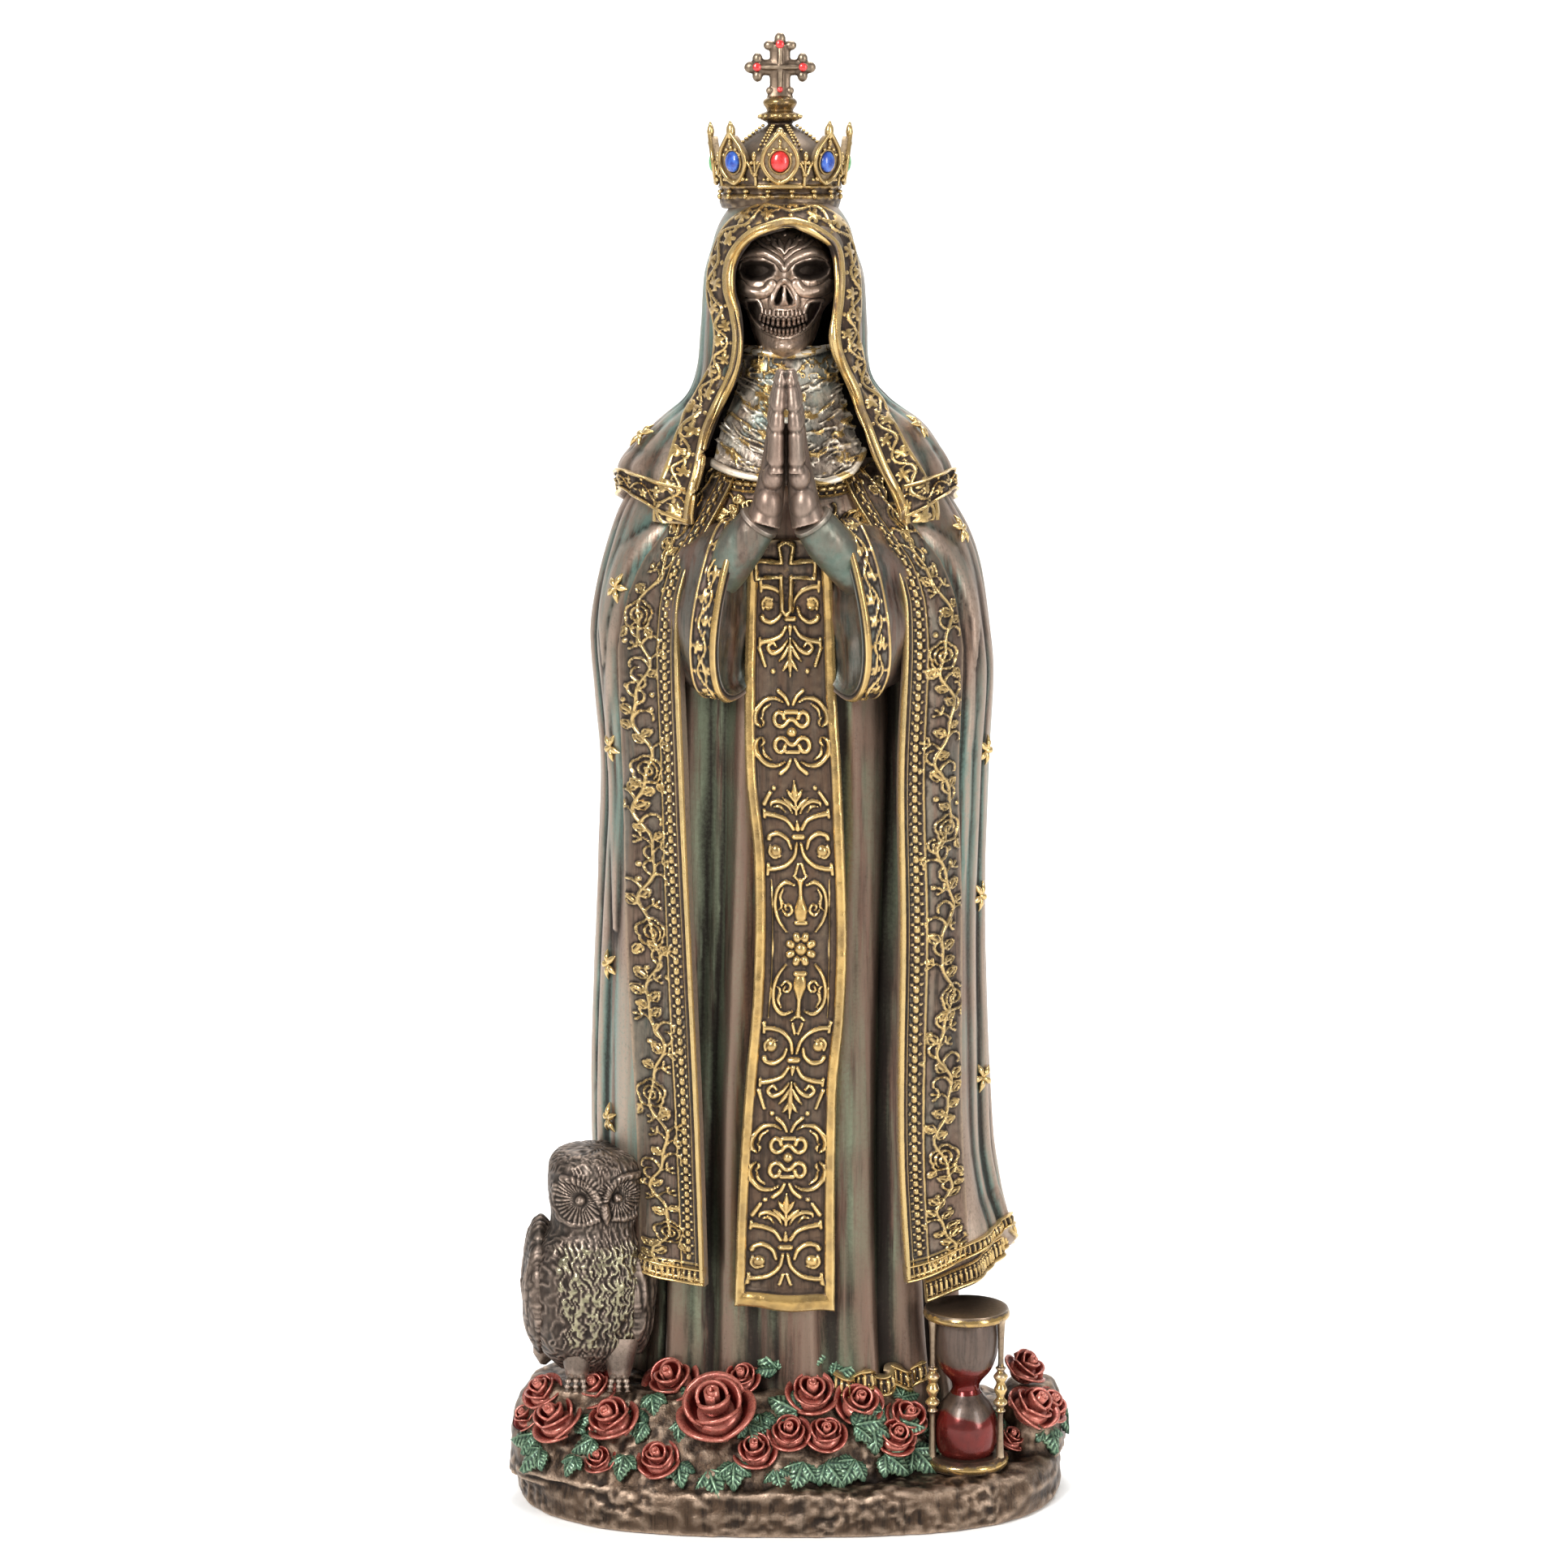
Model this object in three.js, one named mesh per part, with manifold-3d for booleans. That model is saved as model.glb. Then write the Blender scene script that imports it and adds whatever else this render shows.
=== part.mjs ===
// A cast statuette of the santa muerte: a crowned skeleton in a veil and an open mantle, praying,
// on a low ground with roses, with an owl and an hourglass at the hem of the mantle.
// Millimetres, +Z up, the figure faces -Y, and the origin is at the middle of the flat underside.
import * as THREE from 'three';
import { mergeVertices } from 'three/addons/utils/BufferGeometryUtils.js';
import Module from 'manifold-3d';

const wasm = await Module();
wasm.setup();

// Driving dimensions
const figureHeight = 266; // underside to the seat of the crown
const groundWidth = 115;
const groundDepth = 80;
const groundHeight = 9.5;
const gap = 0.3; // clearance between pieces that are glued together
const hemRelief = 0.8; // how far the embroidered borders stand out
const panelThickness = 1.8; // the embroidered front panel
const panelRim = 1.7;
const crownHeight = 33.4;
const crownRadius = 11.2; // the band at its lower edge
const crownPoints = 8;
const crownPlace = [-1.8, 1.4]; // where its axis stands on the veil
const owlHeight = 49;
const perchHeight = 17; // the rock under the owl, above the ground
const hourglassHeight = 33.4;
const hourglassRadius = 8.9;
const roseDepth = 0.8; // a rose's depth as a share of its radius
const borderWidth = 12.5; // the embroidered border of the mantle, with its vine
const bandWidth = 3.6; // the gold band along an edge of the cloth

// The figure is a free form, so its stations are in 266ths of its height
const unit = figureHeight / 266;
const axisY = 3; // the figure's own axis lies a little behind the middle of the ground
const turn = Math.PI * 2;
const fullness = 0.88; // below 1, a plan is fuller than an ellipse
const clear = -50; // a depth in front of the whole figure

const bronze = new THREE.MeshStandardMaterial({ color: 0x6b5647, roughness: 0.45, metalness: 0.6 });
const gold = new THREE.MeshStandardMaterial({ color: 0xb28a45, roughness: 0.4, metalness: 0.8 });
const feather = new THREE.MeshStandardMaterial({ color: 0x77685a, roughness: 0.5, metalness: 0.5 });
const glassRed = new THREE.MeshStandardMaterial({ color: 0x7c4a38, roughness: 0.35, metalness: 0.6 });

// A smooth curve through a few stations, each a pair of a place and the value there
function through(...stations) {
  const slopes = stations.map((station, i) => {
    const before = stations[Math.max(i - 1, 0)];
    const after = stations[Math.min(i + 1, stations.length - 1)];
    return (after[1] - before[1]) / (after[0] - before[0]);
  });
  return (place) => {
    const last = stations.length - 1;
    const at = THREE.MathUtils.clamp(place, stations[0][0], stations[last][0]);
    const i = Math.max(stations.findIndex((station) => station[0] >= at) - 1, 0);
    const run = stations[i + 1][0] - stations[i][0];
    const t = (at - stations[i][0]) / run;
    const rise = t * t * (3 - 2 * t);
    const bend = t * (1 - t) * (slopes[i] * (1 - t) - slopes[i + 1] * t) * run;
    return stations[i][1] * (1 - rise) + stations[i + 1][1] * rise + bend;
  };
}

// A manifold solid from any closed geometry, with its faces turned outwards
function solid(geometry) {
  const bare = geometry.clone();
  bare.deleteAttribute('normal');
  bare.deleteAttribute('uv');
  const merged = mergeVertices(bare, 1e-4);
  const spots = merged.attributes.position.array;
  const faces = [];
  let volume = 0;
  for (let i = 0; i < merged.index.count; i += 3) {
    const [a, b, c] = [0, 1, 2].map((k) => merged.index.array[i + k]);
    if (a === b || b === c || a === c) continue;
    faces.push([a, b, c]);
    const [p, q, r] = [a, b, c].map((k) => new THREE.Vector3().fromArray(spots, 3 * k));
    volume += p.dot(q.cross(r));
  }
  const outward = volume > 0 ? faces : faces.map((face) => face.toReversed());
  const triVerts = new Uint32Array(outward.flat());
  const mesh = new wasm.Mesh({ numProp: 3, vertProperties: new Float32Array(spots), triVerts });
  return new wasm.Manifold(mesh);
}

// A closed body through a row of closed loops, each fanned shut at the two ends
function loft(loops) {
  const count = loops[0].length;
  const points = loops.flat();
  const faces = [];
  for (let row = 0; row < loops.length - 1; row += 1) {
    for (let j = 0; j < count; j += 1) {
      const next = (j + 1) % count;
      const [a, b] = [row * count + j, row * count + next];
      faces.push(a, b, b + count, a, b + count, a + count);
    }
  }
  for (const [row, forward] of [[0, false], [loops.length - 1, true]]) {
    const middle = new THREE.Vector3();
    loops[row].forEach((point) => middle.addScaledVector(point, 1 / count));
    points.push(middle);
    for (let j = 0; j < count; j += 1) {
      const pair = [row * count + j, row * count + ((j + 1) % count)];
      faces.push(...(forward ? pair : pair.toReversed()), points.length - 1);
    }
  }
  const geometry = new THREE.BufferGeometry().setFromPoints(points);
  geometry.setIndex(faces);
  return solid(geometry);
}

// An ellipsoid with its own three half sizes, turned by angles about X, Y and Z
function ball(place, sizes, angles = [0, 0, 0], around = 8, rows = 5) {
  const geometry = new THREE.SphereGeometry(1, around, rows);
  geometry.rotateX(Math.PI / 2);
  geometry.scale(...sizes);
  geometry.rotateX(angles[0]);
  geometry.rotateY(angles[1]);
  geometry.rotateZ(angles[2]);
  geometry.translate(...place);
  return solid(geometry);
}

// A small pointed bead, for ornament that is only a few millimetres across
function bead(place, sizes) {
  return solid(new THREE.OctahedronGeometry(1).scale(...sizes).translate(...place));
}

// A limb through joints, each a point and its radius
function limb(joints, sides = 8) {
  const centres = joints.map((joint) => new THREE.Vector3(...joint[0]));
  const loops = joints.map((joint, i) => {
    const ahead = centres[Math.min(i + 1, joints.length - 1)];
    const behind = centres[Math.max(i - 1, 0)];
    const along = ahead.clone().sub(behind).normalize();
    const across = new THREE.Vector3(0, 1, 0).cross(along).normalize();
    const up = along.clone().cross(across);
    return Array.from({ length: sides }, (_, j) => {
      const angle = (turn * j) / sides;
      return centres[i].clone()
        .addScaledVector(across, joint[1] * Math.cos(angle))
        .addScaledVector(up, joint[1] * Math.sin(angle));
    });
  });
  return loft(loops);
}

function join(solids) {
  return wasm.Manifold.union(solids);
}

function scaled(shape, factor) {
  return shape.scale([factor, factor, factor]);
}

// The turn angles of a plan, counterclockwise, closer together over the front than behind
function angles(front, rest) {
  const open = turn / 6;
  const ahead = Array.from({ length: front }, (_, i) => -turn / 4 - open + (2 * open * i) / front);
  const round = turn - 2 * open;
  const behind = Array.from({ length: rest }, (_, i) => -turn / 4 + open + (round * i) / rest);
  return [...ahead, ...behind];
}

// A rounded plan, fuller than an ellipse, with its own reach to each side
function plan(angle, reach) {
  const [c, s] = [Math.cos(angle), Math.sin(angle)];
  const x = Math.sign(c) * Math.abs(c) ** fullness * (c < 0 ? reach.left : reach.right);
  const y = Math.sign(s) * Math.abs(s) ** fullness * (s < 0 ? reach.front : reach.back);
  return [x, y + axisY];
}

// The depth of such a plan's front at a place across it
function frontOf(reach, x) {
  const share = Math.min(Math.abs(x) / (x < 0 ? reach.left : reach.right), 1) ** (1 / fullness);
  return axisY - reach.front * Math.sqrt(1 - share * share) ** fullness;
}

// The mantle, from its hem to the shoulders
const mantleHem = 43;
const mantleTop = 216;
const mantleLeft = through([mantleHem, 40.5], [91, 40.7], [132, 39.1], [152, 38.4], [167, 39.6],
  [180, 40.5], [190, 39], [198, 36.8], [207, 33.2], [mantleTop, 27]);
const mantleRight = through([mantleHem, 46.8], [49, 46], [60, 43.9], [80, 41.8], [122, 40.5], [152, 40.9],
  [172, 41.9], [183, 40.8], [193, 39.2], [200, 37], [207, 33.2], [mantleTop, 27]);
const mantleFront = through([mantleHem, 33], [120, 32.5], [180, 32.5], [195, 30], [207, 25],
  [mantleTop, 19]);
const mantleBack = through([mantleHem, 30], [100, 27.5], [180, 25], [200, 23], [mantleTop, 17]);
// The inner edges of its two front borders
const edgeLeft = through([40, 17], [80, 18], [117, 19.5], [153, 20.8], [186, 21.4], [195, 19.5], [201, 15],
  [208, 9]);
const edgeRight = through([40, 24], [80, 22.4], [122, 22.6], [153, 21.9], [186, 22.6], [195, 20.6], [201, 16],
  [208, 8]);

// How far the hem of the two front borders hangs above the hem of the sides and the back
const frontHem = through([0, 6.5], [25, 6.5], [37, 10], [42, 0]);

function mantleReach(z) {
  return { left: mantleLeft(z), right: mantleRight(z), front: mantleFront(z), back: mantleBack(z) };
}

function frontOfMantle(x, z) {
  return frontOf(mantleReach(z), x);
}

function mantleOutline(z) {
  const reach = mantleReach(z);
  const depth = through([mantleHem, 1.5], [130, 1], [190, 0.7], [mantleTop, 0.1])(z);
  const swingTall = 30; // the hem's swing dies away over this height
  return angles(10, 22).map((angle) => {
    // The folds fade at the two sides and at the middle of the front
    const side = 1 - Math.abs(Math.cos(angle)) ** 6;
    const middle = Math.sin(angle) > 0 ? 1 : 1 - Math.exp(-((Math.cos(angle) / 0.62) ** 4));
    const wave = 0.65 * Math.cos(11 * angle + z / 55) + 0.35 * Math.cos(19 * angle - z / 38);
    const [x, y] = plan(angle, reach);
    const out = new THREE.Vector2(x, y - axisY);
    out.multiplyScalar(1 + (depth * wave * side * middle) / 34);
    const swing = out.y < 0 ? frontHem(Math.abs(out.x)) : 0;
    const lift = swing * Math.max(0, 1 - (z - mantleHem) / swingTall);
    return new THREE.Vector3(out.x, out.y + axisY, z + lift);
  });
}

const mantleLevels = [43, 58, 84, 110, 138, 160, 176, 190, 200, 208, 216];

// The opening between the borders: a slot from the front to the depth of the tunic
function opening(levels, left, right, from, to) {
  return loft(levels.map((z) => [
    new THREE.Vector3(-left(z), from, z), new THREE.Vector3(right(z), from, z),
    new THREE.Vector3(right(z), to, z), new THREE.Vector3(-left(z), to, z),
  ]));
}

function mantle() {
  const body = loft(mantleLevels.map((z) => mantleOutline(z)));
  const levels = [40, 60, 80, 117, 153, 186, 195, 201, 208, 212];
  // The edges stand free of the tunic by a dark gap that runs in behind them
  const [undercut, back, innermost] = [2.5, -23.8, -14];
  const slot = opening(levels, edgeLeft, edgeRight, clear, innermost);
  const behind = opening(
    levels, (z) => edgeLeft(z) + undercut, (z) => edgeRight(z) + undercut, back, innermost + 1);
  return body.subtract(slot).subtract(behind);
}

// A raised band that follows one edge of the cloth, standing out from its surface
function band(levels, inner, outer, surface) {
  const [proud, sunk] = [-hemRelief / unit, 1.5];
  return loft(levels.map((z) => {
    const [near, far] = [inner(z), outer(z)];
    return [[near, proud], [far, proud], [far, sunk], [near, sunk]]
      .map(([x, off]) => new THREE.Vector3(x, surface(x, z) + off, z));
  }));
}

// The embroidered borders along the mantle's front edges, with their vines
function mantleBorders() {
  const levels = [51, 80, 117, 153, 186];
  const [blooms, lowest, pitch] = [8, 64, 15.5];
  const parts = [];
  for (const [side, edge] of [[-1, edgeLeft], [1, edgeRight]]) {
    const inner = (z) => side * (edge(z) + 0.4);
    const outer = (z) => side * (edge(z) + bandWidth);
    parts.push(band(levels, inner, outer, frontOfMantle));
    for (let i = 0; i < blooms; i += 1) {
      const z = lowest + i * pitch;
      const x = side * (edge(z) + 0.62 * borderWidth + 1.4 * (-1) ** i);
      const size = i % 2 ? 3.2 : 2.4;
      parts.push(bead([x, frontOfMantle(x, z), z], [size, hemRelief * 2, size]));
    }
  }
  return join(parts);
}

// The tunic under the mantle, with long pleats that spread over the ground
const tunicHalf = through([0, 37], [14, 36.5], [30, 34.5], [49, 33.5], [100, 32], [190, 30], [212, 22]);
const tunicFront = through([0, 28], [14, 27.5], [30, 25.5], [60, 24.6], [150, 24], [186, 23], [196, 25.4],
  [206, 25.6], [212, 23]);
const tunicBack = through([0, 29], [14, 28.5], [49, 26], [190, 22], [212, 14]);
const tunicLevels = [4, 16, 32, 50, 100, 150, 186, 197, 206, 212];

function tunic() {
  const pleat = through([4, 1.5], [50, 1.1], [140, 1], [190, 0.5], [212, 0.1]);
  return loft(tunicLevels.map((z) => {
    const reach = { left: tunicHalf(z), right: tunicHalf(z), front: tunicFront(z), back: tunicBack(z) };
    return angles(24, 8).map((angle) => {
      const wave = Math.cos(17 * angle + 0.9 * Math.sin(z / 45)) + 0.5 * Math.cos(9 * angle + z / 60);
      const calm = Math.sin(angle) > 0.5 ? 0.4 : 1;
      const [x, y] = plan(angle, reach);
      const out = new THREE.Vector2(x, y - axisY);
      out.setLength(out.length() + pleat(z) * calm * wave);
      return new THREE.Vector3(out.x, out.y + axisY, z);
    });
  }));
}

// The embroidered panel that hangs down the front of the tunic
const panelTop = 200;
const panelBottom = 43.5;
const panelLeft = through([panelBottom, 11], [63, 10.4], [88, 8.8], [110, 7], [136, 6.8], [153, 8.4],
  [169, 8.7], [panelTop, 6]);
const panelRight = through([panelBottom, 9.2], [88, 9.5], [105, 11], [122, 11.5], [153, 10.3], [169, 9.3],
  [panelTop, 6.5]);

function frontOfTunic(z) {
  return axisY - tunicFront(z) - 0.6;
}

function panelStrip(levels, left, right, proud) {
  const inside = -14; // well inside the tunic
  return loft(levels.map((z) => {
    const front = frontOfTunic(z) - proud;
    return [[left(z), front], [right(z), front], [right(z), inside], [left(z), inside]]
      .map(([x, y]) => new THREE.Vector3(x, y, z));
  }));
}

function panel() {
  const levels = [panelBottom, 63, 88, 110, 136, 153, 169, panelTop];
  const [rim, proud] = [panelRim / unit, panelThickness / unit];
  const raised = proud + hemRelief / unit;
  const lap = 0.15; // a rim reaches just past the cloth that it edges
  const across = (z) => (panelRight(z) - panelLeft(z)) / 2;
  const cloth = panelStrip(levels, (z) => -panelLeft(z), panelRight, proud);
  const leftRim = panelStrip(levels, (z) => -panelLeft(z) - lap, (z) => -panelLeft(z) + rim, raised);
  const rightRim = panelStrip(levels, (z) => panelRight(z) - rim, (z) => panelRight(z) + lap, raised);
  const foot = [panelBottom - lap, panelBottom + rim];
  const bottomRim = panelStrip(foot, (z) => -panelLeft(z) - 2 * lap, (z) => panelRight(z) + 2 * lap, raised);
  const relief = [];
  // Pairs of curls with a bead between them, all the way up to the cross
  const [lowest, highest, pitch] = [54, 172, 22];
  for (let z = lowest; z < highest; z += pitch) {
    const y = frontOfTunic(z) - proud;
    for (const side of [-1, 1]) {
      const curl = new THREE.TorusGeometry(3.2, 0.9, 3, 6);
      curl.rotateX(Math.PI / 2);
      curl.translate(across(z) + side * 3.9, y, z);
      relief.push(solid(curl));
    }
    relief.push(bead([across(z), y, z + pitch / 2], [2.2, 1.5, 5.4]));
  }
  const [crossX, crossZ, crossTall, crossWide, beam] = [-0.6, 193, 15, 11, 1.8];
  for (const [width, tall, up] of [[beam, crossTall, 0], [crossWide, beam, 2]]) {
    const bar = new THREE.BoxGeometry(width, 3, tall);
    relief.push(solid(bar.translate(crossX, frontOfTunic(crossZ + up) - proud, crossZ + up)));
  }
  return join([cloth, leftRim, rightRim, bottomRim, ...relief]);
}

// The veil: a hood around the skull that falls over the shoulders like a cape
const veilTop = 266;
const veilHem = 205;
const veilLeft = through([veilHem, 34.2], [212, 34.6], [217, 32.1], [222, 27], [227, 21.2], [232, 18.9],
  [242, 17.8], [252, 17.1], [257, 15.8], [262, 14.2], [veilTop, 11.6]);
const veilRight = through([veilHem, 33.5], [212, 32.8], [217, 30.8], [222, 27], [227, 20.4], [232, 16.5],
  [242, 15.7], [252, 15], [257, 13.4], [262, 12], [veilTop, 9.3]);
const veilFront = through([veilHem, 29.5], [212, 27.5], [222, 25.5], [232, 24.5], [245, 24.5], [256, 24],
  [262, 21.5], [veilTop, 14]);
const veilBack = through([veilHem, 25], [212, 24.5], [222, 21], [232, 17], [245, 16], [256, 14.5], [262, 12],
  [veilTop, 9]);
// The edge of the hood, left and right of the face, down to the corners over the chest
const rimLeft = through([200, 19.8], [206, 19.6], [214, 17.6], [222, 16.2], [228, 13.6], [234, 10.8],
  [240, 10], [245, 10.8], [250, 12], [255, 11.9], [259, 10.2], [262, 6.9], [264.3, 1.2]);
const rimRight = through([200, 22.8], [206, 22.6], [214, 18.4], [222, 15.3], [228, 13.4], [234, 10.8],
  [240, 9.1], [247, 9.6], [254, 9.6], [260, 8.3], [262.8, 4.4], [264.3, 1.2]);

// The lower border sags at the two front corners
const veilSag = through([0, 0], [20, 0], [33, 5]);

function veilReach(z) {
  return { left: veilLeft(z), right: veilRight(z), front: veilFront(z), back: veilBack(z) };
}

function frontOfVeil(x, z) {
  return frontOf(veilReach(z), x);
}

function veilOutline(z) {
  const reach = veilReach(z);
  const depth = through([veilHem, 1.2], [225, 0.9], [250, 0.4], [262, 0])(z);
  const [sagTall, sideways] = [12, 26];
  return angles(10, 14).map((angle) => {
    const side = Math.sin(angle) > 0 ? 1 - Math.abs(Math.cos(angle)) ** 6 : 0;
    const [x, y] = plan(angle, reach);
    const out = new THREE.Vector2(x, y - axisY);
    out.setLength(out.length() + depth * side * Math.cos(9 * angle + z / 30));
    const lift = veilSag(out.y < 0 ? Math.abs(out.x) : sideways) * Math.max(0, 1 - (z - veilHem) / sagTall);
    return new THREE.Vector3(out.x, out.y + axisY, z + lift);
  });
}

function veil() {
  const levels = [veilHem, 211, 217, 222, 227, 233, 245, 254, 259, 263, veilTop];
  const cloth = loft(levels.map((z) => veilOutline(z)));
  const slots = [200, 208, 220, 228, 235, 241, 250, 258, 262.4, 264.3];
  const face = opening(slots, rimLeft, rimRight, clear, -6);
  const inside = ball([-1, -8, 247], [13.6, 9.5, 15.5], [0, 0, 0], 10, 6);
  const chest = opening([202, 212, 222, 232], (z) => rimLeft(z) + 1, (z) => rimRight(z) + 1, -19.5, -4);
  const hoodLevels = [209, 218, 228, 236, 248];
  const bands = [[-1, rimLeft], [1, rimRight]].map(([side, rim]) => band(
    hoodLevels, (z) => side * rim(z), (z) => side * (rim(z) + bandWidth), frontOfVeil));
  return join([cloth, ...bands]).subtract(join([face, inside, chest]));
}

// The skull, seen between the edges of the hood, with its sockets, nose and cheeks pressed in
const skullHalf = through([236, 2.6], [237.5, 4.8], [240, 6], [243, 6.8], [245, 8.6], [247, 9.3], [251, 9],
  [255, 8.7], [258, 6.9], [260, 4.4], [261, 1.6]);
const skullFront = through([236, 8], [238, 10.4], [241, 10.6], [244, 10], [246, 9], [250, 8.8], [253.4, 10],
  [257, 8.6], [260, 5.4], [261, 3]);
const skullMiddle = [-0.7, -4.4];

// How far the face stands out at a place, by hollows and swellings, each a place, its spread and its depth
function relief(x, z) {
  const marks = [
    [4.5, 251, 2.7, 2.1, -7.5], [0, 246.4, 1.3, 1.9, -4.5], [0, 250.4, 1, 2.4, 1], [6.8, 246.8, 2, 1.4, 1.6],
    [3.2, 254.2, 3, 1, 1], [7, 243.2, 1.6, 2.4, -2.6], [0, 237.4, 2.4, 1.4, 0.8], [5.6, 238.6, 1.4, 1.6, 0.6],
  ];
  return marks.reduce((sum, [across, up, wide, tall, rise]) => (
    sum + rise * Math.exp(-(((Math.abs(x) - across) / wide) ** 2) - (((z - up) / tall) ** 2))), 0);
}

function skull() {
  const [middle, depth] = skullMiddle;
  const levels = [236, 237.5, 239, 241, 243, 245, 246.6, 248.4, 250, 251.6, 253, 254.6, 257, 259.4, 261];
  const bone = loft(levels.map((z) => angles(15, 6).map((angle) => {
    const x = Math.cos(angle) * skullHalf(z);
    const out = Math.sin(angle) < 0 ? skullFront(z) + relief(x, z) * Math.max(0, -Math.sin(angle)) : 9;
    return new THREE.Vector3(middle + x, depth + out * Math.sin(angle), z);
  })));
  // Two rows of teeth on an arch, notched between one tooth and the next
  const [count, archWide, archDeep, archBack] = [14, 4.8, 5.8, 5.2];
  const teeth = [[241.4, 243.4], [239.2, 241.1]].map(([low, high]) => loft([low, high].map((z) => (
    Array.from({ length: count }, (_, j) => {
      const angle = (turn / 2) * (j / (count - 1) - 1);
      const reach = j % 2 ? 1 : 0.88;
      const y = depth - archBack + archDeep * reach * Math.sin(angle);
      return new THREE.Vector3(middle + archWide * reach * Math.cos(angle), y, z);
    })))));
  return join([bone, ...teeth]);
}

// The collar and the crumpled bib under it
function bib() {
  const left = through([209, 14.2], [214, 14], [222, 12.5], [230, 9.5], [237, 8.5]);
  const right = through([209, 15.4], [214, 15], [222, 12], [230, 9.5], [237, 8]);
  const front = through([209, -24.5], [216, -22.5], [224, -18.5], [230, -14.5], [237, -12.5]);
  const levels = [209, 211.5, 214, 217.5, 221, 225, 230, 231.5, 236, 237.4];
  return loft(levels.map((z, row) => Array.from({ length: 12 }, (_, j) => {
    const angle = (turn * j) / 12;
    const crease = z < 230 ? 0.7 * Math.cos(row * Math.PI + 2 * Math.cos(angle)) : 0;
    const collar = z > 231 && z < 237 ? 0.7 : 0;
    const x = Math.cos(angle) * (Math.cos(angle) < 0 ? left(z) : right(z));
    const deep = -front(z) + crease + collar - 2;
    return new THREE.Vector3(x, -2 + Math.sin(angle) * (Math.sin(angle) < 0 ? deep : 5), z);
  })));
}

// One sleeve, its mouth turned to the front and inwards, and hanging low
function sleeve(side) {
  const heading = new THREE.Vector3(-side * 0.78, -0.61, -0.12).normalize();
  const across = new THREE.Vector3(0, 0, 1).cross(heading).normalize();
  const up = heading.clone().cross(across);
  const mouth = new THREE.Vector3(side > 0 ? 10.5 : -10, -26.5, 184);
  const ring = (back, half, tall, drop) => Array.from({ length: 12 }, (_, j) => {
    const angle = (turn * j) / 12;
    const slim = 1 - 0.22 * Math.sin(angle);
    return mouth.clone().addScaledVector(heading, -back)
      .addScaledVector(across, half * slim * Math.cos(angle))
      .addScaledVector(up, tall * Math.sin(angle) + drop);
  });
  const cloth = loft([
    ring(20, 4, 13, 3), ring(12, 6, 16, 1.6), ring(6, 6.9, 16.2, 0.8), ring(0, 6.4, 14.9, 0.4),
  ]);
  const lining = loft([ring(9, 3, 9, 0), ring(5, 4.6, 12, 0), ring(-3, 5.4, 13, 0)]);
  const cuff = loft([
    ring(4.2, 6.8 + hemRelief, 15.6 + hemRelief, 0.6), ring(0.1, 6.3 + hemRelief, 14.8 + hemRelief, 0.4),
  ]);
  return join([cloth, cuff]).subtract(lining);
}

// A forearm and a hand, the palms together and the fingers up
function arm(side) {
  const middle = -0.6;
  const forearm = limb([
    [[side * 17, -21, 189], 3.4], [[side * 12.6, -26, 194.5], 4.2],
    [[side * 8.6 + middle, -29.6, 200.5], 4.5], [[side * 4.3 + middle, -31, 207], 3.6],
  ]);
  // Each row: height, the middle of the hand, its half thickness, and how far it reaches in depth
  const rows = [
    [205, 4.6, 3, -34, -28], [209, 3.7, 3.2, -36, -27], [214.5, 2.9, 2.7, -36.8, -26.5],
    [219, 1.9, 1.9, -36, -26], [225, 1.6, 1.6, -35.4, -26], [230, 1.15, 1.3, -34.6, -27],
    [234, 0.75, 0.6, -32.4, -29],
  ];
  const hand = loft(rows.map(([z, centre, half, front, back]) => Array.from({ length: 12 }, (_, j) => {
    const angle = (turn * j) / 12;
    const knuckle = z > 216 ? 1 - 0.16 * Math.cos(6 * angle) : 1;
    const across = Math.cos(angle) * half * knuckle;
    const deep = (front + back) / 2 + (Math.sin(angle) * (back - front)) / 2;
    return new THREE.Vector3(side * centre + middle + across, deep, z);
  })));
  return join([forearm, hand]);
}

// Small stars on the cloth, each a low cone with rays
function stars() {
  const places = [[-29, 219.5], [25.5, 221.5], [-35, 190], [-37.6, 156], [-38.6, 110.5], [-38.4, 79],
    [35.2, 201], [39.8, 156], [39, 126], [39.8, 88]];
  const rays = 5;
  return places.map(([x, z]) => {
    const reach = z > mantleTop ? veilReach(z) : mantleReach(z);
    const half = x < 0 ? reach.left : reach.right;
    const y = frontOf(reach, x);
    const star = new THREE.ConeGeometry(1, 3, 2 * rays, 1);
    const points = star.attributes.position;
    for (let i = 0; i < points.count; i += 1) {
      const ray = Math.round((Math.atan2(points.getZ(i), points.getX(i)) * 2 * rays) / turn);
      const far = ray % 2 ? 1 : 2.8;
      points.setX(i, points.getX(i) * far);
      points.setZ(i, points.getZ(i) * far);
    }
    star.rotateX(Math.PI);
    // Its axis follows the cloth, which turns away to the side
    star.rotateZ(Math.atan2(x / half ** 2, (axisY - y) / reach.front ** 2));
    return solid(star.translate(x, y, z));
  });
}

// The ground, a rocky slab with a flat underside
function ground() {
  const rows = [[0, 0.985], [0.3, 1], [0.8, 1], [1, 0.95]];
  return loft(rows.map(([rise, reach], row) => Array.from({ length: 32 }, (_, j) => {
    const angle = (turn * j) / 32;
    const [c, s] = [Math.cos(angle), Math.sin(angle)];
    const rock = row === 0 ? 0 : 0.008 * Math.sin(9 * angle + row) + 0.006 * Math.sin(17 * angle - 2 * row);
    const full = 0.72;
    const x = (groundWidth / 2) * (reach + rock) * Math.sign(c) * Math.abs(c) ** full;
    const y = (groundDepth / 2) * (reach + rock) * Math.sign(s) * Math.abs(s) ** full;
    return new THREE.Vector3(x, y, rise * groundHeight);
  })));
}

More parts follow.
